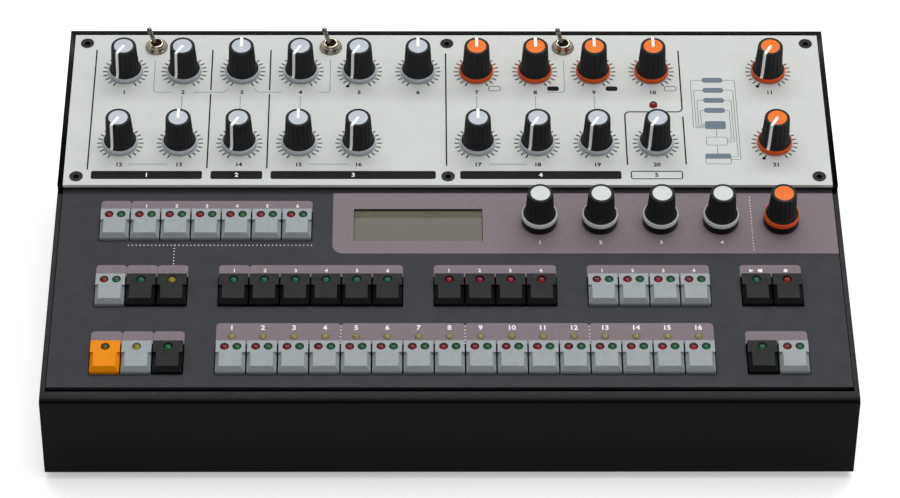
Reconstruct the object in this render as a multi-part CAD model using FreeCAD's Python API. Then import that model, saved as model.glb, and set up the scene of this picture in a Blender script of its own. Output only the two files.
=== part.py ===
import FreeCAD, Part
import math
import os

V = FreeCAD.Vector

# Control grid: knobs, keys and lamps sit on multiples of it, counted from the middle line
GRID = 12.7

# Case, a folded and welded steel tub on four rubber feet
SIDE_MARGIN = 18.95
CASE_WALL = 2.0
FRONT_HEIGHT = 38.4
FRONT_BEND = 2.0
BOTTOM_BEND = 1.6
SLOPE = 11.0
FOOT_HEIGHT = 3.0
FOOT_RADIUS = 8.0
FOOT_INSET = 26.0

# Front ledge folded from the case, and the groove before the lower panel
LEDGE = 5.2
GROOVE = 2.3
SHELF = 8.0

# Panels
LOWER_SHEET = 1.5
UPPER_SHEET = 1.5
DECK_STEP = 3.0
FRONT_MARGIN = 7.05
REAR_MARGIN = 14.4
UPPER_LENGTH = 89.0
UPPER_OVERHANG = 1.1
FLANGE = 12.0
RAIL = 10.0
PANEL_GAP = 0.3

# Keys
KEY_GAP = 0.6
KEY_LENGTH = 15.1
KEY_ROW_PITCH = 36.0
KEY_PROUD = 3.2
KEY_SHOULDER = 1.2
KEY_DEPTH = 2.6
KEY_BEVEL = 1.5
KEY_LAMP_AREA = 6.2
KEY_TRAVEL = 0.8
KEY_STOP = 0.1
APERTURE_GAP = 0.45
SWITCH_HEIGHT = 8.0

# Lamps
LAMP_RADIUS = 1.5
LAMP_CROWN = 1.3
LAMP_GAP = 0.3
LAMP_SPACING = 5.08
LAMP_PROUD = 0.25
STEP_LAMP_OFFSET = 4.5
STEP_LAMP_PROUD = 0.9
SIGNAL_LAMP_PROUD = 1.6

# Knobs
SKIRT_RADIUS = 7.5
SKIRT_HEIGHT = 1.3
SLEEVE_BASE = 6.9
SLEEVE_WAIST = 6.2
SLEEVE_TOP = 5.5
FLARE_HEIGHT = 2.6
SLEEVE_HEIGHT = 14.3
FLUTES = 8
FLUTE_RATIO = 0.93
KNOB_LIFT = 0.4
POINTER_WIDTH = 1.3
POINTER_DEPTH = 0.35
SHAFT_RADIUS = 3.0
SHAFT_GAP = 0.6
KNOB_ROW_PITCH = 42.5
POT_CLEARANCE = 6.14
ENCODER_SKIRT = 3.1

# Potentiometer and encoder bodies
POT_SIDE = 9.8
POT_HEIGHT = 6.6
ENCODER_SIDE = 12.0
ENCODER_HEIGHT = 7.0

# Toggle switches
TOGGLE_INSET = 7.4
NUT_RADIUS = 4.8
NUT_TOP = 3.3
NUT_HEIGHT = 3.0
BUSHING_RADIUS = 3.0
THROAT_RADIUS = 2.3
LEVER_RADIUS = 0.95
LEVER_TIP = 1.25
LEVER_LENGTH = 12.0
LEVER_TILT = 14.0
TOGGLE_LONG = 12.7
TOGGLE_WIDE = 6.8
TOGGLE_BODY = 9.0

# Panel screws
SCREW_INSET = 5.0
SCREW_SIDE = 5.3
SCREW_HEAD = 3.0
SCREW_SHANK = 1.5
SCREW_GAP = 0.1
SCREW_LENGTH = 7.0
HEX_SOCKET = 1.15
TAB_WIDTH = 14.0
TAB_REACH = 11.0

# Display
WINDOW_HEIGHT = 18.0
DISPLAY_TO_KEYS = 7.45
DISPLAY_TO_ENCODER = 7.8
WINDOW_REAR = 12.0
WINDOW_GAP = 0.15
MODULE_BORDER = 7.0
CARD_MARGIN = 3.0
MODULE_DEPTH = 7.5

# Circuit boards
BOARD = 1.6
BOARD_MARGIN = 12.0
STANDOFF = 2.5

# Rear sockets
SOCKET_HEIGHT = 34.0
JACK_BORE = 3.25
JACK_BODY = 13.0
JACK_DEPTH = 24.0
DIN_BORE = 6.8
DIN_BODY = 20.0
DIN_DEPTH = 12.0
DC_BORE = 3.0
DC_BODY = 10.0
DC_DEPTH = 13.0
USB_WIDTH = 8.6
USB_TALL = 7.8
USB_WALL = 1.7
USB_DEPTH = 14.0
SOCKET_MOUTH = 0.6

# Running gap between pieces that are stacked but not joined
SEAT = 0.05

# Corner counts of the small round pieces
SKIRT_SIDES = 12
SMALL_SIDES = 8
LAMP_SIDES = 6
HEAD_SIDES = 10
HIDDEN_SIDES = 6

# Worked-out sizes, v running up the slope from the front top corner and h square to it
OUTER_KEYS = 11.5 * GRID
WIDTH = 2 * (OUTER_KEYS + SIDE_MARGIN)
INNER_WIDTH = WIDTH - 2 * CASE_WALL
PANEL_WIDTH = INNER_WIDTH - 2 * PANEL_GAP
COS = math.cos(math.radians(SLOPE))
SIN = math.sin(math.radians(SLOPE))
LOWER_START = LEDGE + GROOVE
ROW_STEP = LOWER_START + FRONT_MARGIN
ROW_PAGE = ROW_STEP + KEY_ROW_PITCH
ROW_TRACK = ROW_PAGE + KEY_ROW_PITCH
RISER = ROW_TRACK + KEY_LENGTH + REAR_MARGIN
UPPER_START = RISER - UPPER_OVERHANG
UPPER_END = UPPER_START + UPPER_LENGTH
UPPER_UNDER = DECK_STEP - UPPER_SHEET
FLANGE_UNDER = UPPER_UNDER - LOWER_SHEET
TOGGLE_ROW = UPPER_END - TOGGLE_INSET
KNOB_ROW_2 = RISER + max(FLANGE, CASE_WALL + RAIL) + POT_CLEARANCE + POT_SIDE / 2
KNOB_ROW_1 = KNOB_ROW_2 + KNOB_ROW_PITCH
SCREW_ROWS = (UPPER_START + SCREW_INSET, UPPER_END - SCREW_INSET)
SCREW_COLUMNS = (-(PANEL_WIDTH / 2 - SCREW_SIDE), 0.0, PANEL_WIDTH / 2 - SCREW_SIDE)
ENCODER_ROW = ROW_TRACK + KEY_LENGTH / 2 + 2.8
FIRST_ENCODER = 3
LAST_TRACK_KEY = -5
CARD_LEFT = (LAST_TRACK_KEY + 0.5) * GRID + DISPLAY_TO_KEYS
CARD_RIGHT = FIRST_ENCODER * GRID - ENCODER_SIDE / 2 - DISPLAY_TO_ENCODER
WINDOW_MIDDLE = (CARD_LEFT + CARD_RIGHT) / 2
MODULE_HALF = (CARD_RIGHT - CARD_LEFT) / 2 - CARD_MARGIN
WINDOW_WIDTH = 2 * (MODULE_HALF - MODULE_BORDER)
SIGNAL_LAMP_ROW = KNOB_ROW_1 - 0.47 * KNOB_ROW_PITCH
FRONT_TOP = FOOT_HEIGHT + FRONT_HEIGHT
BACK_INSIDE = UPPER_END * COS - UPPER_UNDER * SIN + PANEL_GAP
DEPTH = BACK_INSIDE + CASE_WALL
KEY_WIDTH = GRID - KEY_GAP
SCREW_HOLE = (SCREW_SHANK + SCREW_GAP) / math.cos(math.pi / 6)
SHAFT_HOLE = (SHAFT_RADIUS + SHAFT_GAP) / math.cos(math.pi / 6)
SWITCH_TOP = -KEY_DEPTH - KEY_TRAVEL - KEY_STOP
LOWER_BOARD_TOP = SWITCH_TOP - SWITCH_HEIGHT - SEAT
UPPER_BOARD_TOP = UPPER_UNDER - SEAT - POT_HEIGHT - SEAT

# Knob columns, in grid halves from the middle: name, column, row, swept both ways from centre
POTS = (
    ("wave", -11, 1, False),
    ("pitch", -9, 1, False),
    ("int", -7, 1, True),
    ("cutoff", -5, 1, False),
    ("resonance", -3, 1, False),
    ("type", -1, 1, True),
    ("click", 1, 1, True),
    ("noise", 3, 1, True),
    ("vco", 5, 1, True),
    ("aux", 7, 1, True),
    ("master", 11, 1, False),
    ("time_a", -11, 2, False),
    ("bend_a", -9, 2, True),
    ("frequency", -7, 2, False),
    ("bend_b", -5, 2, True),
    ("time_b", -3, 2, False),
    ("style", 1, 2, True),
    ("decay_a", 3, 2, False),
    ("decay_b", 5, 2, False),
    ("decay_c", 7, 2, False),
    ("phones", 11, 2, False),
)
ENCODERS = (("e", FIRST_ENCODER), ("f", 5), ("g", 7), ("h", 9), ("level", 11))
TOGGLES = (("a", -10), ("b", -4), ("c", 4))

# Key banks: name, first column, row, lamps in each key
BANKS = (
    ("voice_key", -11, ROW_TRACK, (2,)),
    ("track_keys", -10, ROW_TRACK, (2, 2, 2, 2, 2, 2)),
    ("audition_key", -11, ROW_PAGE, (2,)),
    ("mute_sample_keys", -10, ROW_PAGE, (1, 1)),
    ("page_keys", -7, ROW_PAGE, (1, 1, 1, 1, 1, 1)),
    ("edit_keys", 0, ROW_PAGE, (1, 1, 1, 1)),
    ("letter_keys", 5, ROW_PAGE, (2, 2, 2, 2)),
    ("transport_keys", 10, ROW_PAGE, (1, 1)),
    ("shift_key", -11, ROW_STEP, (1,)),
    ("utility_key", -10, ROW_STEP, (1,)),
    ("alt_key", -9, ROW_STEP, (1,)),
    ("step_keys_1_4", -7, ROW_STEP, (2, 2, 2, 2)),
    ("step_keys_5_8", -3, ROW_STEP, (2, 2, 2, 2)),
    ("step_keys_9_12", 1, ROW_STEP, (2, 2, 2, 2)),
    ("step_keys_13_16", 5, ROW_STEP, (2, 2, 2, 2)),
    ("fill_lock_keys", 10, ROW_STEP, (1, 2)),
)
APERTURES = (
    (-11, LAST_TRACK_KEY, ROW_TRACK),
    (-11, -9, ROW_PAGE),
    (-7, -2, ROW_PAGE),
    (0, 3, ROW_PAGE),
    (5, 8, ROW_PAGE),
    (10, 11, ROW_PAGE),
    (-11, -9, ROW_STEP),
    (-7, 8, ROW_STEP),
    (10, 11, ROW_STEP),
)
STEP_COLUMNS = range(-7, 9)
JACKS = (-9, -7, -5, -3, -1, 1)
DINS = (4, 6)
USB_COLUMN = 8
DC_COLUMN = 10

os.makedirs("parts", exist_ok=True)


# Helpers

def box(u0, u1, v0, v1, h0, h1):
    return Part.makeBox(u1 - u0, v1 - v0, h1 - h0, V(u0, v0, h0))


def ring(sides, radius, height, u=0.0, v=0.0):
    turn = math.pi / sides
    points = []
    for i in range(sides):
        angle = 2 * math.pi * i / sides + turn
        points.append(V(u + radius * math.cos(angle), v + radius * math.sin(angle), height))
    return points


def fluted_ring(radius, height):
    points = []
    for i in range(2 * FLUTES):
        reach = radius if i % 2 == 0 else radius * FLUTE_RATIO
        angle = math.pi * (i + 0.5) / FLUTES
        points.append(V(reach * math.cos(angle), reach * math.sin(angle), height))
    return points


def face(points):
    return Part.Face(Part.makePolygon(list(points) + [points[0]]))


def stack(rings):
    # Flat-sided solid through similar rings, as a ruled loft of them would be
    faces = [face(rings[0]), face(rings[-1])]
    for low, high in zip(rings, rings[1:]):
        for i in range(len(low)):
            j = (i + 1) % len(low)
            faces.append(face([low[i], low[j], high[j], high[i]]))
    solid = Part.Solid(Part.Shell(faces))
    if solid.Volume < 0:
        solid.reverse()
    return solid


def post(sides, radius, low, high, u=0.0, v=0.0):
    return stack([ring(sides, radius, low, u, v), ring(sides, radius, high, u, v)])


def over_flats(radius, sides):
    # Corner radius of a polygon whose flats lie at this radius
    return radius / math.cos(math.pi / sides)


def on_deck(shape):
    # From panel coordinates to the object's frame
    placed = shape.copy()
    placed.rotate(V(0, 0, 0), V(1, 0, 0), SLOPE)
    placed.translate(V(0, -DEPTH / 2, FRONT_TOP))
    return placed


def deck_point(v, h):
    return V(0, v * COS - h * SIN - DEPTH / 2, v * SIN + h * COS + FRONT_TOP)


def export(name, solids):
    shape = solids[0] if len(solids) == 1 else Part.Compound(solids)
    shape.exportStep("parts/" + name + ".step")


# Case

def side_profile():
    # Outline of the tub seen from the side, in the object's frame
    front = V(0, -DEPTH / 2, FOOT_HEIGHT)
    corner = deck_point(0.0, 0.0)
    step_low = deck_point(UPPER_START, 0.0)
    step_high = deck_point(UPPER_START, DECK_STEP)
    back_height = corner.z + (DEPTH + DECK_STEP * SIN) / COS * SIN + DECK_STEP * COS
    back_top = V(0, DEPTH / 2, back_height)
    back = V(0, DEPTH / 2, FOOT_HEIGHT)
    return [front, corner, step_low, step_high, back_top, back]


def inner_profile():
    # Room inside the tub, open upwards behind the folded ledge and its shelf
    front = V(0, -DEPTH / 2 + CASE_WALL, FOOT_HEIGHT + CASE_WALL)
    under = deck_point(CASE_WALL, -CASE_WALL)
    under.y = front.y
    fold = LEDGE - CASE_WALL
    shelf_top = -LOWER_SHEET - SEAT
    shelf_end = LEDGE + SHELF
    points = [front, under, deck_point(fold, -CASE_WALL), deck_point(fold, shelf_top - CASE_WALL)]
    points += [deck_point(shelf_end, shelf_top - CASE_WALL), deck_point(shelf_end, shelf_top)]
    points += [deck_point(LEDGE, shelf_top), deck_point(LEDGE, 2 * DECK_STEP)]
    points += [V(0, DEPTH / 2 - CASE_WALL, FRONT_TOP + DEPTH)]
    points += [V(0, DEPTH / 2 - CASE_WALL, FOOT_HEIGHT + CASE_WALL)]
    return points


def across(profile, width):
    shape = face(profile).extrude(V(width, 0, 0))
    shape.translate(V(-width / 2, 0, 0))
    return shape


def edges_across_at(shape, y, z):
    found = []
    for edge in shape.Edges:
        ends = [p.Point for p in edge.Vertexes]
        level = all(abs(p.y - y) < 0.01 and abs(p.z - z) < 0.01 for p in ends)
        if len(ends) == 2 and level:
            found.append(edge)
    return found


def socket_holes():
    wall = DEPTH / 2 - CASE_WALL - 1
    reach = CASE_WALL + 2
    cuts = []
    for column in JACKS:
        cuts.append(rear_post(JACK_BORE + SOCKET_MOUTH, column * GRID, wall, reach))
    for column in DINS:
        cuts.append(rear_post(DIN_BORE + SOCKET_MOUTH, column * GRID, wall, reach))
    cuts.append(rear_post(DC_BORE + SOCKET_MOUTH, DC_COLUMN * GRID, wall, reach))
    half = USB_WIDTH / 2 + SOCKET_MOUTH
    tall = USB_TALL / 2 + SOCKET_MOUTH
    low = V(USB_COLUMN * GRID - half, wall, SOCKET_HEIGHT - tall)
    cuts.append(Part.makeBox(2 * half, reach, 2 * tall, low))
    return cuts


def case_shell():
    tub = across(side_profile(), WIDTH)
    tub = tub.makeFillet(FRONT_BEND, edges_across_at(tub, -DEPTH / 2, FRONT_TOP))
    tub = tub.makeFillet(BOTTOM_BEND, edges_across_at(tub, -DEPTH / 2, FOOT_HEIGHT))
    tub = tub.cut(across(inner_profile(), INNER_WIDTH))
    rail = box(-INNER_WIDTH / 2, INNER_WIDTH / 2, RISER + CASE_WALL, RISER + CASE_WALL + RAIL,
               FLANGE_UNDER - SEAT - CASE_WALL, FLANGE_UNDER - SEAT)
    tub = tub.fuse(on_deck(rail))
    for u in SCREW_COLUMNS:
        tub = tub.fuse(rear_tab(u))
    holes = socket_holes()
    for u in SCREW_COLUMNS:
        for v in SCREW_ROWS:
            holes.append(on_deck(post(HIDDEN_SIDES, SCREW_HOLE, -SCREW_LENGTH, UPPER_UNDER, u, v)))
    return tub.cut(holes).removeSplitter()


def rear_tab(u):
    # Tab folded in from the back wall, under the rear screws of the upper panel
    top = UPPER_UNDER - SEAT
    low = max(u - TAB_WIDTH / 2, -INNER_WIDTH / 2)
    high = min(u + TAB_WIDTH / 2, INNER_WIDTH / 2)
    tab = on_deck(box(low, high, UPPER_END - TAB_REACH, UPPER_END + 6, top - CASE_WALL, top))
    keep = Part.makeBox(WIDTH, DEPTH - CASE_WALL / 2, 4 * DEPTH, V(-WIDTH / 2, -DEPTH / 2, 0))
    return tab.common(keep)


def foot(x, y):
    rings = [(FOOT_RADIUS * 0.86, 0.0), (FOOT_RADIUS, 1.0), (FOOT_RADIUS, FOOT_HEIGHT - SEAT)]
    return stack([ring(HEAD_SIDES, radius, height, x, y) for radius, height in rings])


def feet():
    x = WIDTH / 2 - FOOT_INSET
    y = DEPTH / 2 - FOOT_INSET
    return [foot(i * x, j * y) for i in (-1, 1) for j in (-1, 1)]


# Panels

def lower_panel():
    # Sheet with a riser and a flange folded up behind, under the front edge of the upper panel
    flange_end = RISER + FLANGE
    outline = [(LOWER_START, -LOWER_SHEET), (LOWER_START, 0.0), (RISER, 0.0), (RISER, UPPER_UNDER - SEAT),
               (flange_end, UPPER_UNDER - SEAT), (flange_end, FLANGE_UNDER),
               (RISER + LOWER_SHEET, FLANGE_UNDER), (RISER + LOWER_SHEET, -LOWER_SHEET)]
    sheet = across([V(0, v, h) for v, h in outline], PANEL_WIDTH)
    cuts = []
    for first, last, row in APERTURES:
        u0 = (first - 0.5) * GRID + KEY_GAP / 2 - APERTURE_GAP
        u1 = (last + 0.5) * GRID - KEY_GAP / 2 + APERTURE_GAP
        cuts.append(box(u0, u1, row - APERTURE_GAP, row + KEY_LENGTH + APERTURE_GAP, -5, 5))
    cuts.append(window_box(0.0, -5, 5))
    for column in STEP_COLUMNS:
        hole = over_flats(LAMP_RADIUS + LAMP_GAP / 2, LAMP_SIDES)
        cuts.append(post(LAMP_SIDES, hole, -5, 5, column * GRID, step_lamp_row()))
    for name, column in ENCODERS:
        cuts.append(post(HIDDEN_SIDES, SHAFT_HOLE, -5, 5, column * GRID, ENCODER_ROW))
    for u in SCREW_COLUMNS:
        cuts.append(post(HIDDEN_SIDES, SCREW_HOLE, -5, 5, u, SCREW_ROWS[0]))
    sheet = sheet.cut(cuts)
    for u, v in standoff_places():
        sheet = sheet.fuse(post(LAMP_SIDES, STANDOFF, LOWER_BOARD_TOP + SEAT, -LOWER_SHEET, u, v))
    return on_deck(sheet.removeSplitter())


def standoff_places():
    # In the free columns between banks, and in the free strip above the page keys
    between = (ROW_PAGE + KEY_LENGTH + ROW_TRACK) / 2
    places = [(column * GRID, ROW_STEP + KEY_LENGTH / 2) for column in (-8, 9)]
    places += [(column * GRID, between) for column in (-11, -6, 4, 11)]
    return places


def step_lamp_row():
    return ROW_STEP + KEY_LENGTH + STEP_LAMP_OFFSET


def window_box(gap, low, high):
    middle = WINDOW_MIDDLE
    half = WINDOW_WIDTH / 2 - gap
    rear = RISER - WINDOW_REAR - gap
    front = RISER - WINDOW_REAR - WINDOW_HEIGHT + gap
    return box(middle - half, middle + half, front, rear, low, high)


def lcd_window():
    return on_deck(window_box(WINDOW_GAP, -LOWER_SHEET, -0.1))


def lcd_module():
    middle = WINDOW_MIDDLE
    half = MODULE_HALF
    rear = RISER - WINDOW_REAR + MODULE_BORDER
    front = RISER - WINDOW_REAR - WINDOW_HEIGHT - MODULE_BORDER
    top = -LOWER_SHEET - SEAT
    bezel = box(middle - half, middle + half, front + 4, rear - 4, top - MODULE_DEPTH + 1.6, top)
    wide = half + CARD_MARGIN
    card = box(middle - wide, middle + wide, front, rear, top - MODULE_DEPTH, top - MODULE_DEPTH + 1.6)
    return on_deck(bezel.fuse(card))


def upper_panel():
    half = PANEL_WIDTH / 2
    sheet = box(-half, half, UPPER_START, UPPER_END, UPPER_UNDER, DECK_STEP)
    low = UPPER_UNDER - 1
    high = DECK_STEP + 1
    cuts = []
    for name, column, row, centred in POTS:
        cuts.append(post(HIDDEN_SIDES, SHAFT_HOLE, low, high, column * GRID, knob_row(row)))
    for name, column in TOGGLES:
        cuts.append(post(SMALL_SIDES, BUSHING_RADIUS + SEAT * 2, low, high, column * GRID, TOGGLE_ROW))
    lamp = over_flats(LAMP_RADIUS + LAMP_GAP / 2, LAMP_SIDES)
    cuts.append(post(LAMP_SIDES, lamp, low, high, 7 * GRID, SIGNAL_LAMP_ROW))
    for u in SCREW_COLUMNS:
        for v in SCREW_ROWS:
            wide = ring(HEAD_SIDES, SCREW_HEAD + SCREW_GAP, DECK_STEP, u, v)
            narrow = ring(HEAD_SIDES, SCREW_SHANK + SCREW_GAP, UPPER_UNDER, u, v)
            cuts.append(stack([narrow, wide]))
    return on_deck(sheet.cut(cuts))


def knob_row(row):
    return KNOB_ROW_1 if row == 1 else KNOB_ROW_2


def panel_screw(u, v):
    head = stack([ring(HEAD_SIDES, SCREW_SHANK, UPPER_UNDER, u, v), ring(HEAD_SIDES, SCREW_HEAD, DECK_STEP - SEAT, u, v)])
    shank = post(HEAD_SIDES, SCREW_SHANK, DECK_STEP - SCREW_LENGTH, UPPER_UNDER, u, v)
    socket = post(LAMP_SIDES, HEX_SOCKET, DECK_STEP - 1.1, DECK_STEP + 1, u, v)
    return on_deck(head.fuse(shank).cut(socket).removeSplitter())


def panel_screws():
    return [panel_screw(u, v) for v in SCREW_ROWS for u in SCREW_COLUMNS]


# Knobs

def knob_solid(bottom, skirt_height, shaft_low, pointer):
    # Coloured core with its skirt, fluted rubber sleeve and the shaft it grips
    seat = bottom + skirt_height
    top = seat + SLEEVE_HEIGHT
    sleeve = stack([
        fluted_ring(SLEEVE_BASE, seat),
        fluted_ring(SLEEVE_WAIST, seat + FLARE_HEIGHT),
        fluted_ring(SLEEVE_TOP, top),
    ])
    skirt = post(SKIRT_SIDES, SKIRT_RADIUS, bottom, seat)
    shaft = post(HIDDEN_SIDES, SHAFT_RADIUS, shaft_low, bottom)
    knob = sleeve.fuse(skirt).fuse(shaft).removeSplitter()
    if pointer:
        half = POINTER_WIDTH / 2
        knob = knob.cut(box(-half, half, 0.6, SLEEVE_TOP + 1, top - POINTER_DEPTH, top + 1))
    return knob


def pot_knob(template, column, row, centred):
    knob = template.copy()
    if not centred:
        knob.rotate(V(0, 0, 0), V(0, 0, 1), 150)
    knob.translate(V(column * GRID, knob_row(row), 0))
    return on_deck(knob)


def encoder_knob(template, column):
    knob = template.copy()
    knob.translate(V(column * GRID, ENCODER_ROW, 0))
    return on_deck(knob)


def pot_bodies():
    bodies = []
    half = POT_SIDE / 2
    for name, column, row, centred in POTS:
        u = column * GRID
        v = knob_row(row)
        bodies.append(box(u - half, u + half, v - half, v + half, UPPER_BOARD_TOP + SEAT, UPPER_UNDER - SEAT))
    return [on_deck(body) for body in bodies]


def encoder_bodies():
    bodies = []
    half = ENCODER_SIDE / 2
    for name, column in ENCODERS:
        u = column * GRID
        low = LOWER_BOARD_TOP + SEAT
        body = box(u - half, u + half, ENCODER_ROW - half, ENCODER_ROW + half, low, low + ENCODER_HEIGHT)
        bodies.append(on_deck(body))
    return bodies


# Toggle switches

def toggle_body(column):
    u = column * GRID
    v = TOGGLE_ROW
    half = TOGGLE_LONG / 2
    wide = TOGGLE_WIDE / 2
    under = UPPER_UNDER - SEAT
    body = box(u - half, u + half, v - wide, v + wide, under - TOGGLE_BODY, under)
    neck = post(SMALL_SIDES, BUSHING_RADIUS, under, DECK_STEP + SEAT, u, v)
    nut_low = ring(HEAD_SIDES, NUT_RADIUS, DECK_STEP + SEAT, u, v)
    nut_high = ring(HEAD_SIDES, NUT_TOP, DECK_STEP + SEAT + NUT_HEIGHT, u, v)
    throat_low = ring(SMALL_SIDES, THROAT_RADIUS * 0.8, DECK_STEP - 0.5, u, v)
    throat_high = ring(SMALL_SIDES, THROAT_RADIUS * 1.2, DECK_STEP + SEAT + NUT_HEIGHT + 0.01, u, v)
    whole = body.fuse(neck).fuse(stack([nut_low, nut_high])).cut(stack([throat_low, throat_high]))
    return on_deck(whole.removeSplitter())


def toggle_lever(column):
    # Turned rod with a rounded tip, leaning left at rest about a pivot in the bushing
    length = LEVER_LENGTH
    rings = [(LEVER_RADIUS, 0.0), (LEVER_RADIUS, length - 3.0), (LEVER_TIP, length - 1.4), (LEVER_TIP * 0.6, length)]
    lever = stack([ring(SMALL_SIDES, radius, height) for radius, height in rings])
    lever.rotate(V(0, 0, 0), V(0, 1, 0), -LEVER_TILT)
    lever.translate(V(column * GRID, TOGGLE_ROW, DECK_STEP + 0.2))
    return on_deck(lever)


# Keys

def key_cap(lamps):
    # Moulded cap: a full-width lamp area behind, and a pressing face bevelled on three sides
    side = [(0.0, -KEY_DEPTH), (0.0, KEY_SHOULDER), (KEY_BEVEL, KEY_PROUD), (KEY_LENGTH, KEY_PROUD),
            (KEY_LENGTH, -KEY_DEPTH)]
    cap = across([V(0, v, h) for v, h in side], KEY_WIDTH)
    cuts = []
    edge = KEY_WIDTH / 2
    for hand in (-1, 1):
        wedge = [V(hand * edge, 0, KEY_SHOULDER), V(hand * (edge + 1), 0, KEY_SHOULDER),
                 V(hand * (edge + 1), 0, KEY_PROUD + 1), V(hand * (edge - KEY_BEVEL), 0, KEY_PROUD + 1),
                 V(hand * (edge - KEY_BEVEL), 0, KEY_PROUD)]
        cut = face(wedge).extrude(V(0, KEY_LENGTH - KEY_LAMP_AREA + 1, 0))
        cut.translate(V(0, -1, 0))
        cuts.append(cut)
    for u in lamp_columns(lamps):
        hole = over_flats(LAMP_RADIUS + LAMP_GAP, LAMP_SIDES)
        cuts.append(post(LAMP_SIDES, hole, -KEY_DEPTH - 1, KEY_PROUD + 1, u, KEY_LENGTH - KEY_LAMP_AREA / 2))
    return cap.cut(cuts)


def lamp_columns(lamps):
    if lamps == 1:
        return (0.0,)
    return (-LAMP_SPACING / 2, LAMP_SPACING / 2)


def key_bank(caps, first, row, lamps):
    keys = []
    for i, count in enumerate(lamps):
        key = caps[count].copy()
        key.translate(V((first + i) * GRID, row, 0))
        keys.append(on_deck(key))
    return keys


def key_switches():
    switches = []
    half = KEY_WIDTH / 2 - 0.2
    for name, first, row, lamps in BANKS:
        for i in range(len(lamps)):
            u = (first + i) * GRID
            low = LOWER_BOARD_TOP + SEAT
            switches.append(on_deck(box(u - half, u + half, row + 0.2, row + KEY_LENGTH - 0.2, low, SWITCH_TOP)))
    return switches


# Lamps

def lamp(low, high, u, v):
    # Moulded lens with the slight draft that lets it leave its mould
    return on_deck(stack([ring(LAMP_SIDES, LAMP_RADIUS, low, u, v), ring(LAMP_SIDES, LAMP_CROWN, high, u, v)]))


def lamps_all():
    lamps = []
    for name, first, row, counts in BANKS:
        for i, count in enumerate(counts):
            for offset in lamp_columns(count):
                u = (first + i) * GRID + offset
                v = row + KEY_LENGTH - KEY_LAMP_AREA / 2
                lamps.append(lamp(SWITCH_TOP + SEAT, KEY_PROUD + LAMP_PROUD, u, v))
    for column in STEP_COLUMNS:
        lamps.append(lamp(LOWER_BOARD_TOP + SEAT, STEP_LAMP_PROUD, column * GRID, step_lamp_row()))
    high = DECK_STEP + SIGNAL_LAMP_PROUD
    lamps.append(lamp(UPPER_BOARD_TOP + SEAT, high, 7 * GRID, SIGNAL_LAMP_ROW))
    return lamps


# Boards inside

def lower_board():
    half = PANEL_WIDTH / 2 - BOARD_MARGIN
    top = LOWER_BOARD_TOP
    return on_deck(box(-half, half, LOWER_START + 3, RISER - 2, top - BOARD, top))


def upper_board():
    half = PANEL_WIDTH / 2 - BOARD_MARGIN
    top = UPPER_BOARD_TOP
    front = KNOB_ROW_2 - POT_SIDE / 2 - 1
    rear = TOGGLE_ROW - TOGGLE_WIDE / 2 - 1
    return on_deck(box(-half, half, front, rear, top - BOARD, top))


# Rear sockets

def rear_post(radius, x, y, reach):
    # Eight-sided prism lying along Y
    points = ring(SMALL_SIDES, over_flats(radius, SMALL_SIDES), 0.0)
    profile = [V(x + p.x, y, SOCKET_HEIGHT + p.y) for p in points]
    return face(profile).extrude(V(0, reach, 0))


def round_socket(x, bore, body, depth):
    front = DEPTH / 2 - CASE_WALL - SEAT
    block = Part.makeBox(body, depth, body, V(x - body / 2, front - depth, SOCKET_HEIGHT - body / 2))
    return block.cut(rear_post(bore, x, front - depth + 2.0, depth))


def usb_socket():
    x = USB_COLUMN * GRID
    front = DEPTH / 2 - CASE_WALL - SEAT
    wide = USB_WIDTH + 2 * USB_WALL
    tall = USB_TALL + 2 * USB_WALL
    block = Part.makeBox(wide, USB_DEPTH, tall, V(x - wide / 2, front - USB_DEPTH, SOCKET_HEIGHT - tall / 2))
    mouth = V(x - USB_WIDTH / 2, front - USB_DEPTH + 2.0, SOCKET_HEIGHT - USB_TALL / 2)
    return block.cut(Part.makeBox(USB_WIDTH, USB_DEPTH, USB_TALL, mouth))


def rear_sockets():
    sockets = [round_socket(column * GRID, JACK_BORE, JACK_BODY, JACK_DEPTH) for column in JACKS]
    sockets += [round_socket(column * GRID, DIN_BORE, DIN_BODY, DIN_DEPTH) for column in DINS]
    sockets.append(round_socket(DC_COLUMN * GRID, DC_BORE, DC_BODY, DC_DEPTH))
    sockets.append(usb_socket())
    return sockets


# Build

export("case_shell", [case_shell()])
export("feet", feet())
export("lower_panel", [lower_panel()])
export("upper_panel", [upper_panel()])
export("panel_screws", panel_screws())
export("lcd_window", [lcd_window()])
export("lcd_module", [lcd_module()])
export("lower_board", [lower_board()])
export("upper_board", [upper_board()])
export("rear_sockets", rear_sockets())

pot_template = knob_solid(DECK_STEP + KNOB_LIFT, SKIRT_HEIGHT, UPPER_UNDER + SEAT, True)
for name, column, row, centred in POTS:
    export("knob_" + name, [pot_knob(pot_template, column, row, centred)])
export("pot_bodies", pot_bodies())

encoder_shaft_low = LOWER_BOARD_TOP + 2 * SEAT + ENCODER_HEIGHT
encoder_template = knob_solid(KNOB_LIFT, ENCODER_SKIRT, encoder_shaft_low, False)
for name, column in ENCODERS:
    export("encoder_" + name, [encoder_knob(encoder_template, column)])
export("encoder_bodies", encoder_bodies())

export("toggle_bodies", [toggle_body(column) for name, column in TOGGLES])
for name, column in TOGGLES:
    export("toggle_" + name, [toggle_lever(column)])

key_caps = {count: key_cap(count) for count in (1, 2)}
for name, first, row, lamps in BANKS:
    export(name, key_bank(key_caps, first, row, lamps))
export("key_switches", key_switches())
export("leds", lamps_all())
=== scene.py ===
import math

import bmesh
import bpy
from mathutils import Matrix, Vector


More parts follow.
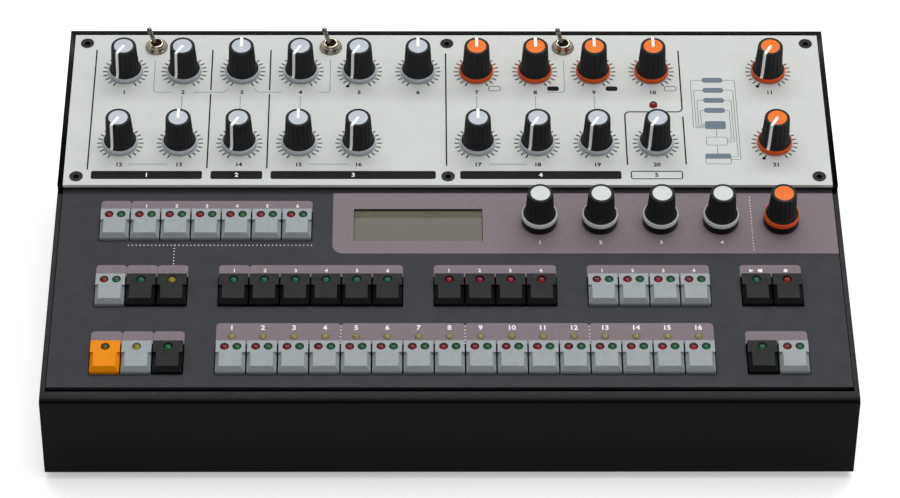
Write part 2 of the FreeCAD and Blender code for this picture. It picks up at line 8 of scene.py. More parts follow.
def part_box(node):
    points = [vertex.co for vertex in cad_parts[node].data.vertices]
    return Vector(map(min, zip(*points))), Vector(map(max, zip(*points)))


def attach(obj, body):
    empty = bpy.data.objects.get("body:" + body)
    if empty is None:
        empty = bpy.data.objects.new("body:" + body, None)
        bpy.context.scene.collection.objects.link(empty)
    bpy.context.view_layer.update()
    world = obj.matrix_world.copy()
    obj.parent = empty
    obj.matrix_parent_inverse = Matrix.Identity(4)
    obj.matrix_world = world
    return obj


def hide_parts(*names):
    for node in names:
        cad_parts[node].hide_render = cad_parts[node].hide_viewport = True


bl_info = {
    "name": "Drum machine",
    "version": (1, 0, 0),
    "blender": (4, 5, 0),
    "location": "3D View > Sidebar > Drum machine",
    "description": "Builds the visible pieces and finishes of a desktop drum machine",
    "category": "Object",
}

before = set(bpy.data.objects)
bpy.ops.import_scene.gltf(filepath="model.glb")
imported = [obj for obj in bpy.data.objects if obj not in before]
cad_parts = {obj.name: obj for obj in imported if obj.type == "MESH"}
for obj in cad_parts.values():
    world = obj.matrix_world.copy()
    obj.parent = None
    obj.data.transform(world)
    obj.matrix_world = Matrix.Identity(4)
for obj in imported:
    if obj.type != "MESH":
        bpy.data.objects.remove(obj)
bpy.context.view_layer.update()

# Sizes in millimetres, from here on, unless they are multiplied by MM
MM = 0.001
SLOPE = math.radians(11.0)
FRONT_TOP = 41.4
GRID = 12.7
PLATE = 3.0

# Levels of the ink over the deck, where white lies over the other inks, and how thick ink is drawn
PLATE_INK = PLATE + 0.02
PLATE_WHITE = PLATE + 0.06
SHEET_INK = 0.01
SHEET_WHITE = 0.05
INK = 0.02
BAR_INK = 0.03

# Front edges of the key rows, and the middles of the other rows, up the deck from its front edge
STEP_ROW = 14.55
PAGE_ROW = 50.55
TRACK_ROW = 86.55
ENCODER_ROW = 96.9
LOW_KNOBS = 139.09
HIGH_KNOBS = 181.59
TOGGLE_ROW = 196.55

# Key banks: node, first column, row, lamp colours of each key, cap colour
PAIR = ("red", "green")
BANKS = (
    ("voice_key", -11, TRACK_ROW, (PAIR,), "grey"),
    ("track_keys", -10, TRACK_ROW, (PAIR,) * 6, "grey"),
    ("audition_key", -11, PAGE_ROW, (PAIR,), "grey"),
    ("mute_sample_keys", -10, PAGE_ROW, (("green",), ("yellow",)), "black"),
    ("page_keys", -7, PAGE_ROW, (("green",),) * 6, "black"),
    ("edit_keys", 0, PAGE_ROW, (("red",),) * 4, "black"),
    ("letter_keys", 5, PAGE_ROW, (PAIR,) * 4, "grey"),
    ("transport_keys", 10, PAGE_ROW, (("green",), ("red",)), "black"),
    ("shift_key", -11, STEP_ROW, (("olive",),), "orange"),
    ("utility_key", -10, STEP_ROW, (("yellow",),), "grey"),
    ("alt_key", -9, STEP_ROW, (("green",),), "black"),
    *((f"step_keys_{i + 1}_{i + 4}", i - 7, STEP_ROW, (PAIR,) * 4, "grey") for i in (0, 4, 8, 12)),
    ("fill_lock_keys", 10, STEP_ROW, (("green",), PAIR), "black"),
)
STEP_COLUMNS = range(-7, 9)

# Label strips behind the banks: row, depth of the strip, and the first and last column of each
STRIPS = (
    (TRACK_ROW, 6.9, ((-11, -11), (-10, -5))),
    (PAGE_ROW, 7.0, ((-11, -11), (-10, -10), (-9, -9), (-7, -7), (-6, -2), (0, 3), (5, 8), (10, 11))),
    (STEP_ROW, 7.2, ((-11, -11), (-10, -10), (-9, -9), (10, 11))),
    (STEP_ROW, 11.5, ((-7, -4), (-3, 0), (1, 4), (5, 8))),
)

# Knobs: node ending, column, row, pointer at the middle of its sweep, orange core
KNOBS = (
    ("wave", -11, HIGH_KNOBS, False, False), ("pitch", -9, HIGH_KNOBS, False, False),
    ("int", -7, HIGH_KNOBS, True, False), ("cutoff", -5, HIGH_KNOBS, False, False),
    ("resonance", -3, HIGH_KNOBS, False, False), ("type", -1, HIGH_KNOBS, True, False),
    ("click", 1, HIGH_KNOBS, True, True), ("noise", 3, HIGH_KNOBS, True, True),
    ("vco", 5, HIGH_KNOBS, True, True), ("aux", 7, HIGH_KNOBS, True, True),
    ("master", 11, HIGH_KNOBS, False, True), ("time_a", -11, LOW_KNOBS, False, False),
    ("bend_a", -9, LOW_KNOBS, True, False), ("frequency", -7, LOW_KNOBS, False, False),
    ("bend_b", -5, LOW_KNOBS, True, False), ("time_b", -3, LOW_KNOBS, False, False),
    ("style", 1, LOW_KNOBS, True, False), ("decay_a", 3, LOW_KNOBS, False, False),
    ("decay_b", 5, LOW_KNOBS, False, False), ("decay_c", 7, LOW_KNOBS, False, False),
    ("phones", 11, LOW_KNOBS, False, True),
)
LOW_POINTER = math.radians(150)

# Encoders: node ending, column, orange core
ENCODERS = (("e", 3, False), ("f", 5, False), ("g", 7, False), ("h", 9, False), ("level", 11, True))
TOGGLES = (("a", -10), ("b", -4), ("c", 4))
SCREWS = tuple((u, v, 0) for v in (119.95, 198.95) for u in (-157.4, 0.0, 157.4))

# Columns of the rear sockets, and their height over the table
JACKS = (-9, -7, -5, -3, -1, 1)
DINS = (4, 6)
DATA, POWER = 8, 10
REAR_HEIGHT = 34.0


def linear(code):
    """The linear colour of an sRGB hex code, with an alpha of 1."""
    channels = [int(code[i:i + 2], 16) / 255 for i in (1, 3, 5)]
    return tuple(c / 12.92 if c <= 0.04045 else ((c + 0.055) / 1.055) ** 2.4 for c in channels) + (1.0,)


def deck():
    """From panel coordinates, across, up the slope and square to it, to the object's frame."""
    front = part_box("case_shell")[0].y
    return Matrix.Translation((0, front, FRONT_TOP * MM)) @ Matrix.Rotation(SLOPE, 4, "X")


def place(u, v, h=0.0, turn=0.0):
    """On the deck at that place in millimetres, turned about the deck's normal."""
    return deck() @ Matrix.Translation((u * MM, v * MM, h * MM)) @ Matrix.Rotation(turn, 4, "Z")


# Building helpers

def put(tree, kind, inputs=None, **settings):
    """Adds a node with its settings, and sets each input to a value, or links it to a socket or to
    the first output of another node."""
    made = tree.nodes.new(kind)
    for name, value in settings.items():
        setattr(made, name, value)
    for name, value in (inputs or {}).items():
        if isinstance(value, bpy.types.Node):
            value = value.outputs[0]
        if isinstance(value, bpy.types.NodeSocket):
            tree.links.new(value, made.inputs[name])
        else:
            made.inputs[name].default_value = value
    return made


def geometry_tree(name, inputs):
    """A Geometry Nodes tree and its named inputs, each with a number or the name of a kind."""
    tree = bpy.data.node_groups.new(name, "GeometryNodeTree")
    tree.interface.new_socket("Geometry", in_out="INPUT", socket_type="NodeSocketGeometry")
    for label, value in inputs.items():
        kind = {int: "Int", float: "Float"}.get(type(value), value)
        socket = tree.interface.new_socket(label, in_out="INPUT", socket_type="NodeSocket" + kind)
        if kind != value:
            socket.default_value = value
    tree.interface.new_socket("Geometry", in_out="OUTPUT", socket_type="NodeSocketGeometry")
    return tree, put(tree, "NodeGroupInput").outputs


def end_tree(tree, geometry, material):
    """Ends a tree in Realize Instances and Set Material."""
    real = put(tree, "GeometryNodeRealizeInstances", {"Geometry": geometry})
    painted = put(tree, "GeometryNodeSetMaterial", {"Geometry": real, "Material": material})
    put(tree, "NodeGroupOutput", {"Geometry": painted})
    return tree


def shown(name, data):
    """A new object in the scene."""
    made = bpy.data.objects.new(name, data)
    bpy.context.scene.collection.objects.link(made)
    return made


def grown(name, tree, mesh, values):
    """Runs a Geometry Nodes tree on a mesh and returns the plain mesh that it makes."""
    host = shown(name, mesh)
    modifier = host.modifiers.new("Grow", "NODES")
    modifier.node_group = tree
    sockets = {item.name: item.identifier for item in tree.interface.items_tree if item.in_out == "INPUT"}
    for label, value in values.items():
        modifier[sockets[label]] = value
    return settled(host)


def settled(host):
    """The plain mesh of an object with its modifiers, which is removed."""
    bpy.context.view_layer.update()
    graph = bpy.context.evaluated_depsgraph_get()
    mesh = bpy.data.meshes.new_from_object(host.evaluated_get(graph), depsgraph=graph)
    mesh.name = host.name
    bpy.data.objects.remove(host)
    return mesh


def solid_mesh(name, points, faces, finish=None, joined=()):
    """A mesh of points in millimetres with faces, or with edges where a tree follows a path."""
    mesh = bpy.data.meshes.new(name)
    mesh.from_pydata([Vector(p) * MM for p in points], list(joined), faces)
    if finish:
        mesh.materials.append(finish)
    return mesh


def turned(name, profile, sides, finish, smooth=40.0):
    """A solid of revolution through (radius, height) points from the bottom up. A third value is a
    count of corners, where the ring is a polygon such as a hexagon socket."""
    points, faces, rings = [], [], []
    for radius, height, *corners in profile:
        ring = range(len(points), len(points) + (sides if radius else 1))
        for i in range(len(ring)):
            angle = 2 * math.pi * i / sides
            reach = radius
            if corners:
                wedge = 2 * math.pi / corners[0]
                reach = radius * math.cos(wedge / 2) / math.cos(angle % wedge - wedge / 2)
            points.append((reach * math.cos(angle), reach * math.sin(angle), height))
        rings.append(ring)
    for low, high in zip(rings, rings[1:]):
        for i in range(sides):
            j = (i + 1) % sides
            corner = [low[i % len(low)], low[j % len(low)], high[j % len(high)], high[i % len(high)]]
            faces.append(list(dict.fromkeys(corner)))
    if len(rings[0]) > 1:
        faces.append(list(reversed(rings[0])))
    if len(rings[-1]) > 1:
        faces.append(list(rings[-1]))
    mesh = solid_mesh(name, points, faces, finish)
    mesh.shade_smooth()
    mesh.set_sharp_from_angle(angle=math.radians(smooth))
    return mesh


def rounded(low, high, radii, steps=5):
    """Outline of a rectangle with one radius, or with one for each corner from the low one round."""
    if not isinstance(radii, tuple):
        radii = (radii,) * 4
    corners = ((low[0], low[1], 1, 1), (high[0], low[1], -1, 1),
               (high[0], high[1], -1, -1), (low[0], high[1], 1, -1))
    outline = []
    for i, ((x, y, a, b), radius) in enumerate(zip(corners, radii)):
        if radius == 0:
            outline.append((x, y))
            continue
        for k in range(steps + 1):
            angle = math.pi * (1 + i / 2) + math.pi / 2 * k / steps
            outline.append((x + radius * (a + math.cos(angle)), y + radius * (b + math.sin(angle))))
    return outline


def slab(name, outline, low, high, finish):
    """A closed flat piece over an outline."""
    count = len(outline)
    points = [(x, y, z) for z in (low, high) for x, y in outline]
    faces = [list(reversed(range(count))), list(range(count, 2 * count))]
    faces += [[i, (i + 1) % count, (i + 1) % count + count, i + count] for i in range(count)]
    return solid_mesh(name, points, faces, finish)


def assembled(name, parts):
    """Joins (mesh, matrix) pairs into one mesh in which each keeps its finish."""
    form = bmesh.new()
    finishes = []
    for mesh, matrix in parts:
        points, faces = len(form.verts), len(form.faces)
        form.from_mesh(mesh)
        form.verts.ensure_lookup_table()
        form.faces.ensure_lookup_table()
        bmesh.ops.transform(form, matrix=matrix, verts=form.verts[points:])
        for face in form.faces[faces:]:
            finish = mesh.materials[face.material_index]
            if finish not in finishes:
                finishes.append(finish)
            face.material_index = finishes.index(finish)
    joined = bpy.data.meshes.new(name)
    form.to_mesh(joined)
    form.free()
    for finish in finishes:
        joined.materials.append(finish)
    return joined


def piece(name, mesh, body, stands_for=()):
    """Shows a mesh as a piece that rides on a body and may stand for CAD nodes."""
    made = shown(name, mesh)
    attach(made, body)
    if stands_for:
        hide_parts(*stands_for)


def finish_node(name, finish):
    """Gives a CAD node that is shown as it is its finish."""
    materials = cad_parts[name].data.materials
    materials.clear()
    materials.append(finish)


# Finishes

def found(tree, kind):
    """The first node of that kind in a tree."""
    return next(node for node in tree.nodes if node.bl_idname == kind)


def grained(name, low, high, mottle, gloss, patch, relief=None, **sockets):
    """A surface whose colour drifts from one hex code to the other over grains of mottle millimetres,
    whose roughness drifts through gloss over patches of patch millimetres, and whose relief is
    (grain, height)."""
    material = bpy.data.materials.new(name)
    material.use_nodes = True
    tree = material.node_tree
    tree.nodes.clear()
    shader = put(tree, "ShaderNodeBsdfPrincipled")
    put(tree, "ShaderNodeOutputMaterial", {"Surface": shader})
    spot = put(tree, "ShaderNodeTexCoord").outputs["Object"]
    drift = put(tree, "ShaderNodeTexNoise", {"Vector": spot, "Scale": 1000 / mottle, "Detail": 3.0})
    tint = put(tree, "ShaderNodeValToRGB", {"Fac": drift})
    for stop, at, code in zip(tint.color_ramp.elements, (0.3, 0.7), (low, high)):
        stop.position = at
        stop.color = linear(code)
    tree.links.new(tint.outputs[0], shader.inputs["Base Color"])
    wear = put(tree, "ShaderNodeTexNoise", {"Vector": spot, "Scale": 1000 / patch, "Detail": 3.0})
    shine = put(tree, "ShaderNodeMapRange", {
        "Value": wear, "From Min": 0.3, "From Max": 0.7, "To Min": gloss[0], "To Max": gloss[1]})
    tree.links.new(shine.outputs[0], shader.inputs["Roughness"])
    if relief:
        grain, height = relief
        bumps = put(tree, "ShaderNodeTexNoise", {"Vector": spot, "Scale": 1000 / grain, "Detail": 2.0})
        raised = put(tree, "ShaderNodeBump", {"Height": bumps, "Distance": height * MM, "Strength": 0.6})
        tree.links.new(raised.outputs[0], shader.inputs["Normal"])
    for label, value in sockets.items():
        shader.inputs[label.replace("_", " ")].default_value = value
    return material


def powder_coat(name, low, high, gloss, shine):
    """Polyester powder coat, baked on steel: an orange peel about 1.2 mm across under a satin gloss."""
    return grained(name, low, high, 9.0, gloss, 4.0, (1.2, 0.02), Specular_IOR_Level=shine)


def sheet_paint(name, low, high):
    """Wet-sprayed matt paint on the front sheet: the fine grain of its matting agent, in 0.6 mm flecks."""
    return grained(name, low, high, 0.6, (0.48, 0.58), 6.0, (0.5, 0.006), Specular_IOR_Level=0.15)


def screen_ink(name, low, high):
    """Screen-printed ink, matt, that shows the mesh of the screen as a grain of 0.4 mm."""
    return grained(name, low, high, 0.8, (0.52, 0.64), 3.0, (0.4, 0.004), Specular_IOR_Level=0.12)


def moulded_abs(name, low, high, gloss=(0.36, 0.48), shine=0.3):
    """Injection-moulded ABS from a spark-eroded tool: an even 0.3 mm texture and a soft sheen."""
    return grained(name, low, high, 2.5, gloss, 1.5, (0.3, 0.006), IOR=1.53, Specular_IOR_Level=shine)


def soft_rubber(name, low, high):
    """Thermoplastic rubber moulded over the knob core: matt, with a little dust in its 0.5 mm grain."""
    return grained(name, low, high, 1.8, (0.5, 0.68), 0.9, (0.5, 0.012), IOR=1.52, Specular_IOR_Level=0.22)


def plated_metal(name, low, high, gloss):
    """Plated metal off a lathe: its tool marks as a 0.15 mm relief that spreads the highlights."""
    return grained(name, low, high, 3.0, gloss, 0.6, (0.15, 0.002), Metallic=1.0)


def black_oxide(name, low, high):
    """Black-oxide steel screws: a dark conversion coat with uneven gloss, in specks of 0.5 mm."""
    return grained(name, low, high, 0.5, (0.28, 0.44), 0.4, (0.3, 0.006), Specular_IOR_Level=0.15)


def foot_rubber(name, low, high):
    """Nitrile rubber feet: black, matt, with scuffs about 2 mm long."""
    return grained(name, low, high, 2.0, (0.62, 0.82), 1.0, (0.6, 0.02))


def circuit_board(name, low, high):
    """Green solder mask over glass-fibre laminate, with the weave 0.6 mm apart showing through."""
    return grained(name, low, high, 0.6, (0.25, 0.4), 3.0)


def lamp_epoxy(name, deep, painted_highlight):
    """Tinted epoxy lens of an unlit lamp: dark, with a painted highlight where its surface faces the player.
    """
    material = grained(name, deep, painted_highlight, 0.8, (0.1, 0.18), 0.8, IOR=1.54, Specular_IOR_Level=0.25)
    tree = material.node_tree
    tint = found(tree, "ShaderNodeValToRGB").inputs["Fac"]
    normal = put(tree, "ShaderNodeTexCoord").outputs["Normal"]
    along = put(tree, "ShaderNodeSeparateXYZ", {"Vector": normal}).outputs["Y"]
    # Painted highlight: the colour turns brighter where the lens's normal points to the front, towards the
    # player.
    rim = put(tree, "ShaderNodeMapRange", {
        "Value": along, "From Min": 0.1, "From Max": -0.8, "To Min": 0.15, "To Max": 0.8})
    # The painted highlight scales the colour grain.
    grain_and_painted_highlight = put(tree, "ShaderNodeMath", {0: rim, 1: tint.links[0].from_socket, 2: 0.1},
               operation="MULTIPLY_ADD")
    tree.links.new(grain_and_painted_highlight.outputs[0], tint)
    return material


def display_cells(name, low, high, gap):
    """Reflective liquid-crystal display at rest, under its polarising film: dot cells 0.7 mm apart."""
    material = grained(name, low, high, 8.0, (0.3, 0.38), 8.0, Specular_IOR_Level=0.12)
    tree = material.node_tree
    cells = put(tree, "ShaderNodeTexBrick", {
        "Vector": found(tree, "ShaderNodeTexCoord").outputs["Object"], "Scale": 1.0,
        "Color1": linear(low), "Color2": linear(high), "Mortar": linear(gap), "Mortar Size": 0.06 * MM,
        "Brick Width": 0.7 * MM, "Row Height": 0.7 * MM}, offset=0.0)
    tree.links.new(cells.outputs["Color"], found(tree, "ShaderNodeBsdfPrincipled").inputs["Base Color"])
    return material


# Finishes by key: how the surface is made, the material's name, its two colours and what else it takes
CORE_GLOSS = (0.32, 0.42)
FINISHES = {
    "case": (powder_coat, "powder-coated steel, satin black", "#020202", "#050505", (0.16, 0.24), 0.07),
    "plate": (powder_coat, "powder-coated steel, pale grey", "#C5C8C5", "#CACDCA", (0.42, 0.5), 0.25),
    "panel": (sheet_paint, "painted steel, dark grey", "#2F3035", "#34353A"),
    "mauve": (screen_ink, "screen ink, mauve grey", "#786D73", "#83787E"),
    "ink_black": (screen_ink, "screen ink, black", "#0B0B0C", "#121112"),
    "ink_grey": (screen_ink, "screen ink, slate grey", "#66737F", "#707D89"),
    "ink_line": (screen_ink, "screen ink, pale grey", "#888D92", "#92979C"),
    "ink_white": (screen_ink, "screen ink, white", "#E4E4E4", "#EEEEEE"),
    "grey": (moulded_abs, "moulded ABS, light grey", "#8B9295", "#939A9D"),
    "black": (moulded_abs, "moulded ABS, black", "#0E0F0F", "#151616", (0.36, 0.48), 0.12),
    "orange": (moulded_abs, "moulded ABS, orange", "#E68600", "#EC8D02", (0.36, 0.48), 0.06),
    "core_grey": (moulded_abs, "moulded ABS, pale blue grey", "#AFB6BE", "#B7BEC6", CORE_GLOSS),
    "core_pale": (moulded_abs, "moulded ABS, pale grey", "#C4CACA", "#CCD1D1", CORE_GLOSS),
    "core_orange": (moulded_abs, "moulded ABS, red orange", "#D6521A", "#DC5920", CORE_GLOSS, 0.15),
    "cap_orange": (moulded_abs, "moulded ABS, warm orange", "#E56C10", "#EA7416", CORE_GLOSS, 0.15),
    "base": (moulded_abs, "moulded ABS, knob base", "#0A0A0B", "#101011", (0.26, 0.36), 0.15),
    "nylon": (moulded_abs, "glass-filled nylon, black", "#111112", "#18181A", (0.46, 0.56), 0.15),
    "sleeve": (soft_rubber, "overmoulded rubber, black", "#121214", "#1C1C1F"),
    "pointer": (screen_ink, "pad-printed line, white", "#F2F2F2", "#FAFAFA"),
    "nickel": (plated_metal, "nickel-plated brass", "#A89D8E", "#C4B9A8", (0.1, 0.24)),
    "steel": (plated_metal, "nickel-plated steel", "#77716A", "#8D867E", (0.14, 0.28)),
    "tin": (plated_metal, "tinned steel", "#A7A9AB", "#BEC0C2", (0.24, 0.38)),
    "screw": (black_oxide, "black-oxide steel", "#060607", "#121213"),
    "foot": (foot_rubber, "nitrile rubber", "#161616", "#262626"),
    "fibre": (circuit_board, "glass-fibre laminate", "#0F4A2C", "#135233"),
    # Lamp lenses: the second colour is a painted highlight, shown where the lens faces the player.
    "red": (lamp_epoxy, "tinted epoxy, red", "#50000A", "#C01420"),
    "green": (lamp_epoxy, "tinted epoxy, green", "#0A3C24", "#1F8A50"),
    "yellow": (lamp_epoxy, "tinted epoxy, yellow", "#6E6614", "#C2B626"),
    "olive": (lamp_epoxy, "tinted epoxy, olive", "#33340C", "#8A7A20"),
    "khaki": (lamp_epoxy, "diffused epoxy, khaki", "#7A7448", "#AEA874"),
    "cells": (display_cells, "liquid-crystal display", "#6B665F", "#6E6962", "#646058"),
    # A darker copy of the display's colours, painted as the shade of the window's rear wall.
    "painted_rear_shade": (display_cells, "liquid-crystal display, rear rim", "#55513F", "#585442", "#504C3B"),
}


def finish(key):
    """The finish of that key, made the first time that it is asked for."""
    maker, name, *rest = FINISHES[key]
    return bpy.data.materials.get(name) or maker(name, *rest)


# Geometry Nodes trees

def tick_tree():
    """A ring of printed ticks round each point of the mesh, over a sweep that opens towards the player."""
    tree, given = geometry_tree("Tick rings", {
        "Count": 21, "Inner Radius": 7.9 * MM, "Outer Radius": 9.9 * MM, "Width": 0.58 * MM,
        "Sweep": math.radians(300), "Ink": "Material"})
    inner = given["Inner Radius"]
    length = put(tree, "ShaderNodeMath", {0: given["Outer Radius"], 1: inner}, operation="SUBTRACT")
    middle = put(tree, "ShaderNodeMath", {0: length, 1: 0.5, 2: inner}, operation="MULTIPLY_ADD")
    tick = put(tree, "GeometryNodeMeshGrid", {
        "Size X": length, "Size Y": given["Width"], "Vertices X": 2, "Vertices Y": 2})
    reach = put(tree, "ShaderNodeCombineXYZ", {"X": middle})
    outward = put(tree, "GeometryNodeTransform", {"Geometry": tick, "Translation": reach})
    gaps = put(tree, "ShaderNodeMath", {0: given["Count"], 1: 1.0}, operation="SUBTRACT")
    step = put(tree, "ShaderNodeMath", {0: given["Sweep"], 1: gaps}, operation="DIVIDE")
    first = put(tree, "ShaderNodeMath", {0: given["Sweep"], 1: -0.5, 2: math.pi / 2},
                operation="MULTIPLY_ADD")
    index = put(tree, "GeometryNodeInputIndex")
    angle = put(tree, "ShaderNodeMath", {0: index, 1: step, 2: first}, operation="MULTIPLY_ADD")
    turn = put(tree, "ShaderNodeCombineXYZ", {"Z": angle})
    middles = put(tree, "GeometryNodePoints", {"Count": given["Count"]})
    ring = put(tree, "GeometryNodeInstanceOnPoints", {
        "Points": middles, "Instance": outward, "Rotation": turn})
    rings = put(tree, "GeometryNodeInstanceOnPoints", {"Points": given["Geometry"], "Instance": ring})
    return end_tree(tree, rings, given["Ink"])


def repeat_tree():
    """A piece repeated at each point of the mesh, each turned about its axis by a seeded chance."""
    tree, given = geometry_tree("Repeat a piece", {
        "Piece": "Object", "Turn": 0.0, "Seed": 7, "Finish": "Material"})
    source = put(tree, "GeometryNodeObjectInfo", {"Object": given["Piece"]})
    chance = put(tree, "FunctionNodeRandomValue", {"Max": given["Turn"], "Seed": given["Seed"]})
    turn = put(tree, "ShaderNodeCombineXYZ", {"Z": chance.outputs[1]})
    copies = put(tree, "GeometryNodeInstanceOnPoints", {
        "Points": given["Geometry"], "Instance": source.outputs["Geometry"], "Rotation": turn})
    return end_tree(tree, copies, given["Finish"])


def flute_tree():
    """Shallow flutes pressed into a turned sleeve, that fade in over a low level and stop at a high one."""
    tree, given = geometry_tree("Flute a sleeve", {
        "Flutes": 18, "Depth": 0.42 * MM, "Low": 0.0, "High": 10.0 * MM, "Fade": 2.2 * MM,
        "Finish": "Material"})
    parts = put(tree, "ShaderNodeSeparateXYZ", {0: put(tree, "GeometryNodeInputPosition")}).outputs
    angle = put(tree, "ShaderNodeMath", {0: parts["Y"], 1: parts["X"]}, operation="ARCTAN2")
    phase = put(tree, "ShaderNodeMath", {0: angle, 1: given["Flutes"]}, operation="MULTIPLY")
    wave = put(tree, "ShaderNodeMath", {0: phase}, operation="COSINE")
    groove = put(tree, "ShaderNodeMapRange", {"Value": wave, "From Min": 0.5, "From Max": -0.3},
                 interpolation_type="SMOOTHSTEP")
    start = put(tree, "ShaderNodeMath", {0: given["Low"], 1: given["Fade"]}, operation="ADD")
    rise = put(tree, "ShaderNodeMapRange", {"Value": parts["Z"], "From Min": given["Low"], "From Max": start},
               interpolation_type="SMOOTHSTEP")
    fall = put(tree, "ShaderNodeMath", {0: parts["Z"], 1: given["High"]}, operation="LESS_THAN")
    inward = -1.0
    for share in (rise, fall, groove, given["Depth"]):
        inward = put(tree, "ShaderNodeMath", {0: inward, 1: share}, operation="MULTIPLY")
    level = put(tree, "ShaderNodeCombineXYZ", {"X": parts["X"], "Y": parts["Y"]})
    outward = put(tree, "ShaderNodeVectorMath", {0: level}, operation="NORMALIZE")
    shift = put(tree, "ShaderNodeVectorMath", {0: outward, "Scale": inward}, operation="SCALE")
    fluted = put(tree, "GeometryNodeSetPosition", {"Geometry": given["Geometry"], "Offset": shift})
    return end_tree(tree, fluted, given["Finish"])


def line_tree():
    """Printed lines of one width that follow the mesh's edges, with their corners rounded."""
    tree, given = geometry_tree("Printed lines", {
        "Width": 0.36 * MM, "Corner Radius": 1.6 * MM, "Ink": "Material"})
    path = put(tree, "GeometryNodeMeshToCurve", {0: given["Geometry"]})
    bent = put(tree, "GeometryNodeFilletCurve", {
        "Curve": path, "Radius": given["Corner Radius"], "Count": 5, "Limit Radius": True}, mode="POLY")
    level = put(tree, "GeometryNodeSetCurveNormal", {0: bent}, mode="Z_UP")
    ends = {}
    for end, share in (("Start", -0.5), ("End", 0.5)):
        half = put(tree, "ShaderNodeMath", {0: given["Width"], 1: share}, operation="MULTIPLY")
        ends[end] = put(tree, "ShaderNodeCombineXYZ", {"X": half})
    across = put(tree, "GeometryNodeCurvePrimitiveLine", ends)
    strip = put(tree, "GeometryNodeCurveToMesh", {"Curve": level, "Profile Curve": across})
    return end_tree(tree, strip, given["Ink"])


def dot_tree():
    """Round printed dots at an even pitch along the mesh's edges."""
    tree, given = geometry_tree("Dotted lines", {"Pitch": 1.6 * MM, "Radius": 0.27 * MM, "Ink": "Material"})
    path = put(tree, "GeometryNodeMeshToCurve", {0: given["Geometry"]})
    even = put(tree, "GeometryNodeResampleCurve", {"Curve": path, "Length": given["Pitch"]}, mode="LENGTH")
    dot = put(tree, "GeometryNodeMeshCircle", {"Vertices": 8, "Radius": given["Radius"]}, fill_type="NGON")
    dots = put(tree, "GeometryNodeInstanceOnPoints", {"Points": even, "Instance": dot})
    return end_tree(tree, dots, given["Ink"])


def repeated(name, template, points, turn, made_of):
    """Copies of a template mesh at points, through the repeat tree."""
    source = shown(name + " template", template)
    mesh = grown(name, repeat_tree(), solid_mesh(name, points, []),
                 {"Piece": source, "Turn": turn, "Finish": made_of})
    bpy.data.objects.remove(source)
    return mesh


# Printing helpers

def tile(name, low, high, radii, ink, steps=5):
    """A rectangle of ink with rounded corners."""
    return slab(name, rounded(low, high, radii, steps), 0, INK, ink)


def printed(name, tree, points, joined, values):
    """What a tree prints at points or along the edges that join them, as faces that look up."""
    mesh = grown(name, tree, solid_mesh(name, points, [], None, joined), values)
    form = bmesh.new()
    form.from_mesh(mesh)
    for face in form.faces:
        face.normal_update()
        if face.normal.z < 0:
            face.normal_flip()
    form.to_mesh(mesh)
    form.free()
    return mesh


def along(name, tree, runs, values):
    """What a tree prints along runs of points."""
    points, joined = [], []
    for run in runs:
        first = len(points)
        points += [(u, v, 0) for u, v in run]
        joined += [(first + i, first + i + 1) for i in range(len(run) - 1)]
    return printed(name, tree, points, joined, values)


def lines(name, runs, width, corner, ink):
    """Printed lines along runs of points, their corners rounded to a radius in millimetres."""
    return along(name, line_tree(), runs, {"Width": width, "Corner Radius": corner * MM, "Ink": ink})


def closed(outline):
    """An outline as a run that ends where it starts."""
    return outline + outline[:1]


def numerals(name, items, size, ink, weight):
    """Printed numbers, each (text, u, v) centred on its place on the deck, as one mesh."""
    parts = []
    for text, u, v in items:
        curve = bpy.data.curves.new(name, "FONT")
        curve.body = text
        curve.size = size * MM
        curve.offset = weight * MM
        curve.align_x = "CENTER"
        curve.align_y = "CENTER"
        curve.resolution_u = 4
        mesh = settled(shown(name, curve))
        mesh.materials.clear()
        mesh.materials.append(ink)
        parts.append((mesh, Matrix.Translation((u * MM, v * MM, 0))))
    return assembled(name, parts)


def counted(first, count, v):
    """Numbers from 1 over columns of the grid."""
    return [(str(i + 1), (first + i) * GRID, v) for i in range(count)]


# Settings

def length(label, words, millimetres):
    """A size that a user can change, shown as a length."""
    return bpy.props.FloatProperty(
        name=label, description=words, default=millimetres * MM, subtype="DISTANCE", unit="LENGTH")


class DrumKeySizes(bpy.types.PropertyGroup):
    """Sizes of the key caps."""
    width: length("Width", "Width of a key cap", 12.1)
    depth: length("Depth", "Front to back length of a key cap", 15.1)
    bevel: length("Bevel", "Slope width round the pressing face", 1.5)
    lamp_area: length("Lamp area", "Depth of the flat area behind the pressing face", 6.2)
    hole: length("Lamp hole", "Radius of the hole round a lamp", 1.82)
    edge: length("Edge", "Radius of the moulded edges", 0.22)


class DrumKnobSizes(bpy.types.PropertyGroup):
    """Sizes of the knobs and encoders."""
    skirt: length("Skirt radius", "Radius of the coloured skirt", 7.5)
    cap: length("Cap radius", "Radius of the coloured cap", 4.08)
    height: length("Sleeve height", "Height of a knob's rubber sleeve", 13.7)
    encoder_height: length("Encoder sleeve height", "Height of an encoder's rubber sleeve", 12.2)
    flute_depth: length("Flute depth", "Depth of the grip flutes", 0.42)
    pointer: length("Pointer width", "Width of the white pointer", 1.3)
    flutes: bpy.props.IntProperty(name="Flutes", description="Grip flutes round a sleeve", default=18, min=3)


class DrumPrintSizes(bpy.types.PropertyGroup):
    """Sizes of the printed lines and numbers."""
    tick_inner: length("Tick start", "Inner radius of the dial ticks", 7.9)
    tick_outer: length("Tick end", "Outer radius of the dial ticks", 9.9)
    tick_width: length("Tick width", "Width of a dial tick", 0.58)
    rule_width: length("Rule width", "Width of the dark rules between sections", 0.62)
    wire_width: length("Thin line width", "Width of the thin connecting lines", 0.36)
    number: length("Number size", "Letter height of the step numbers", 3.4)


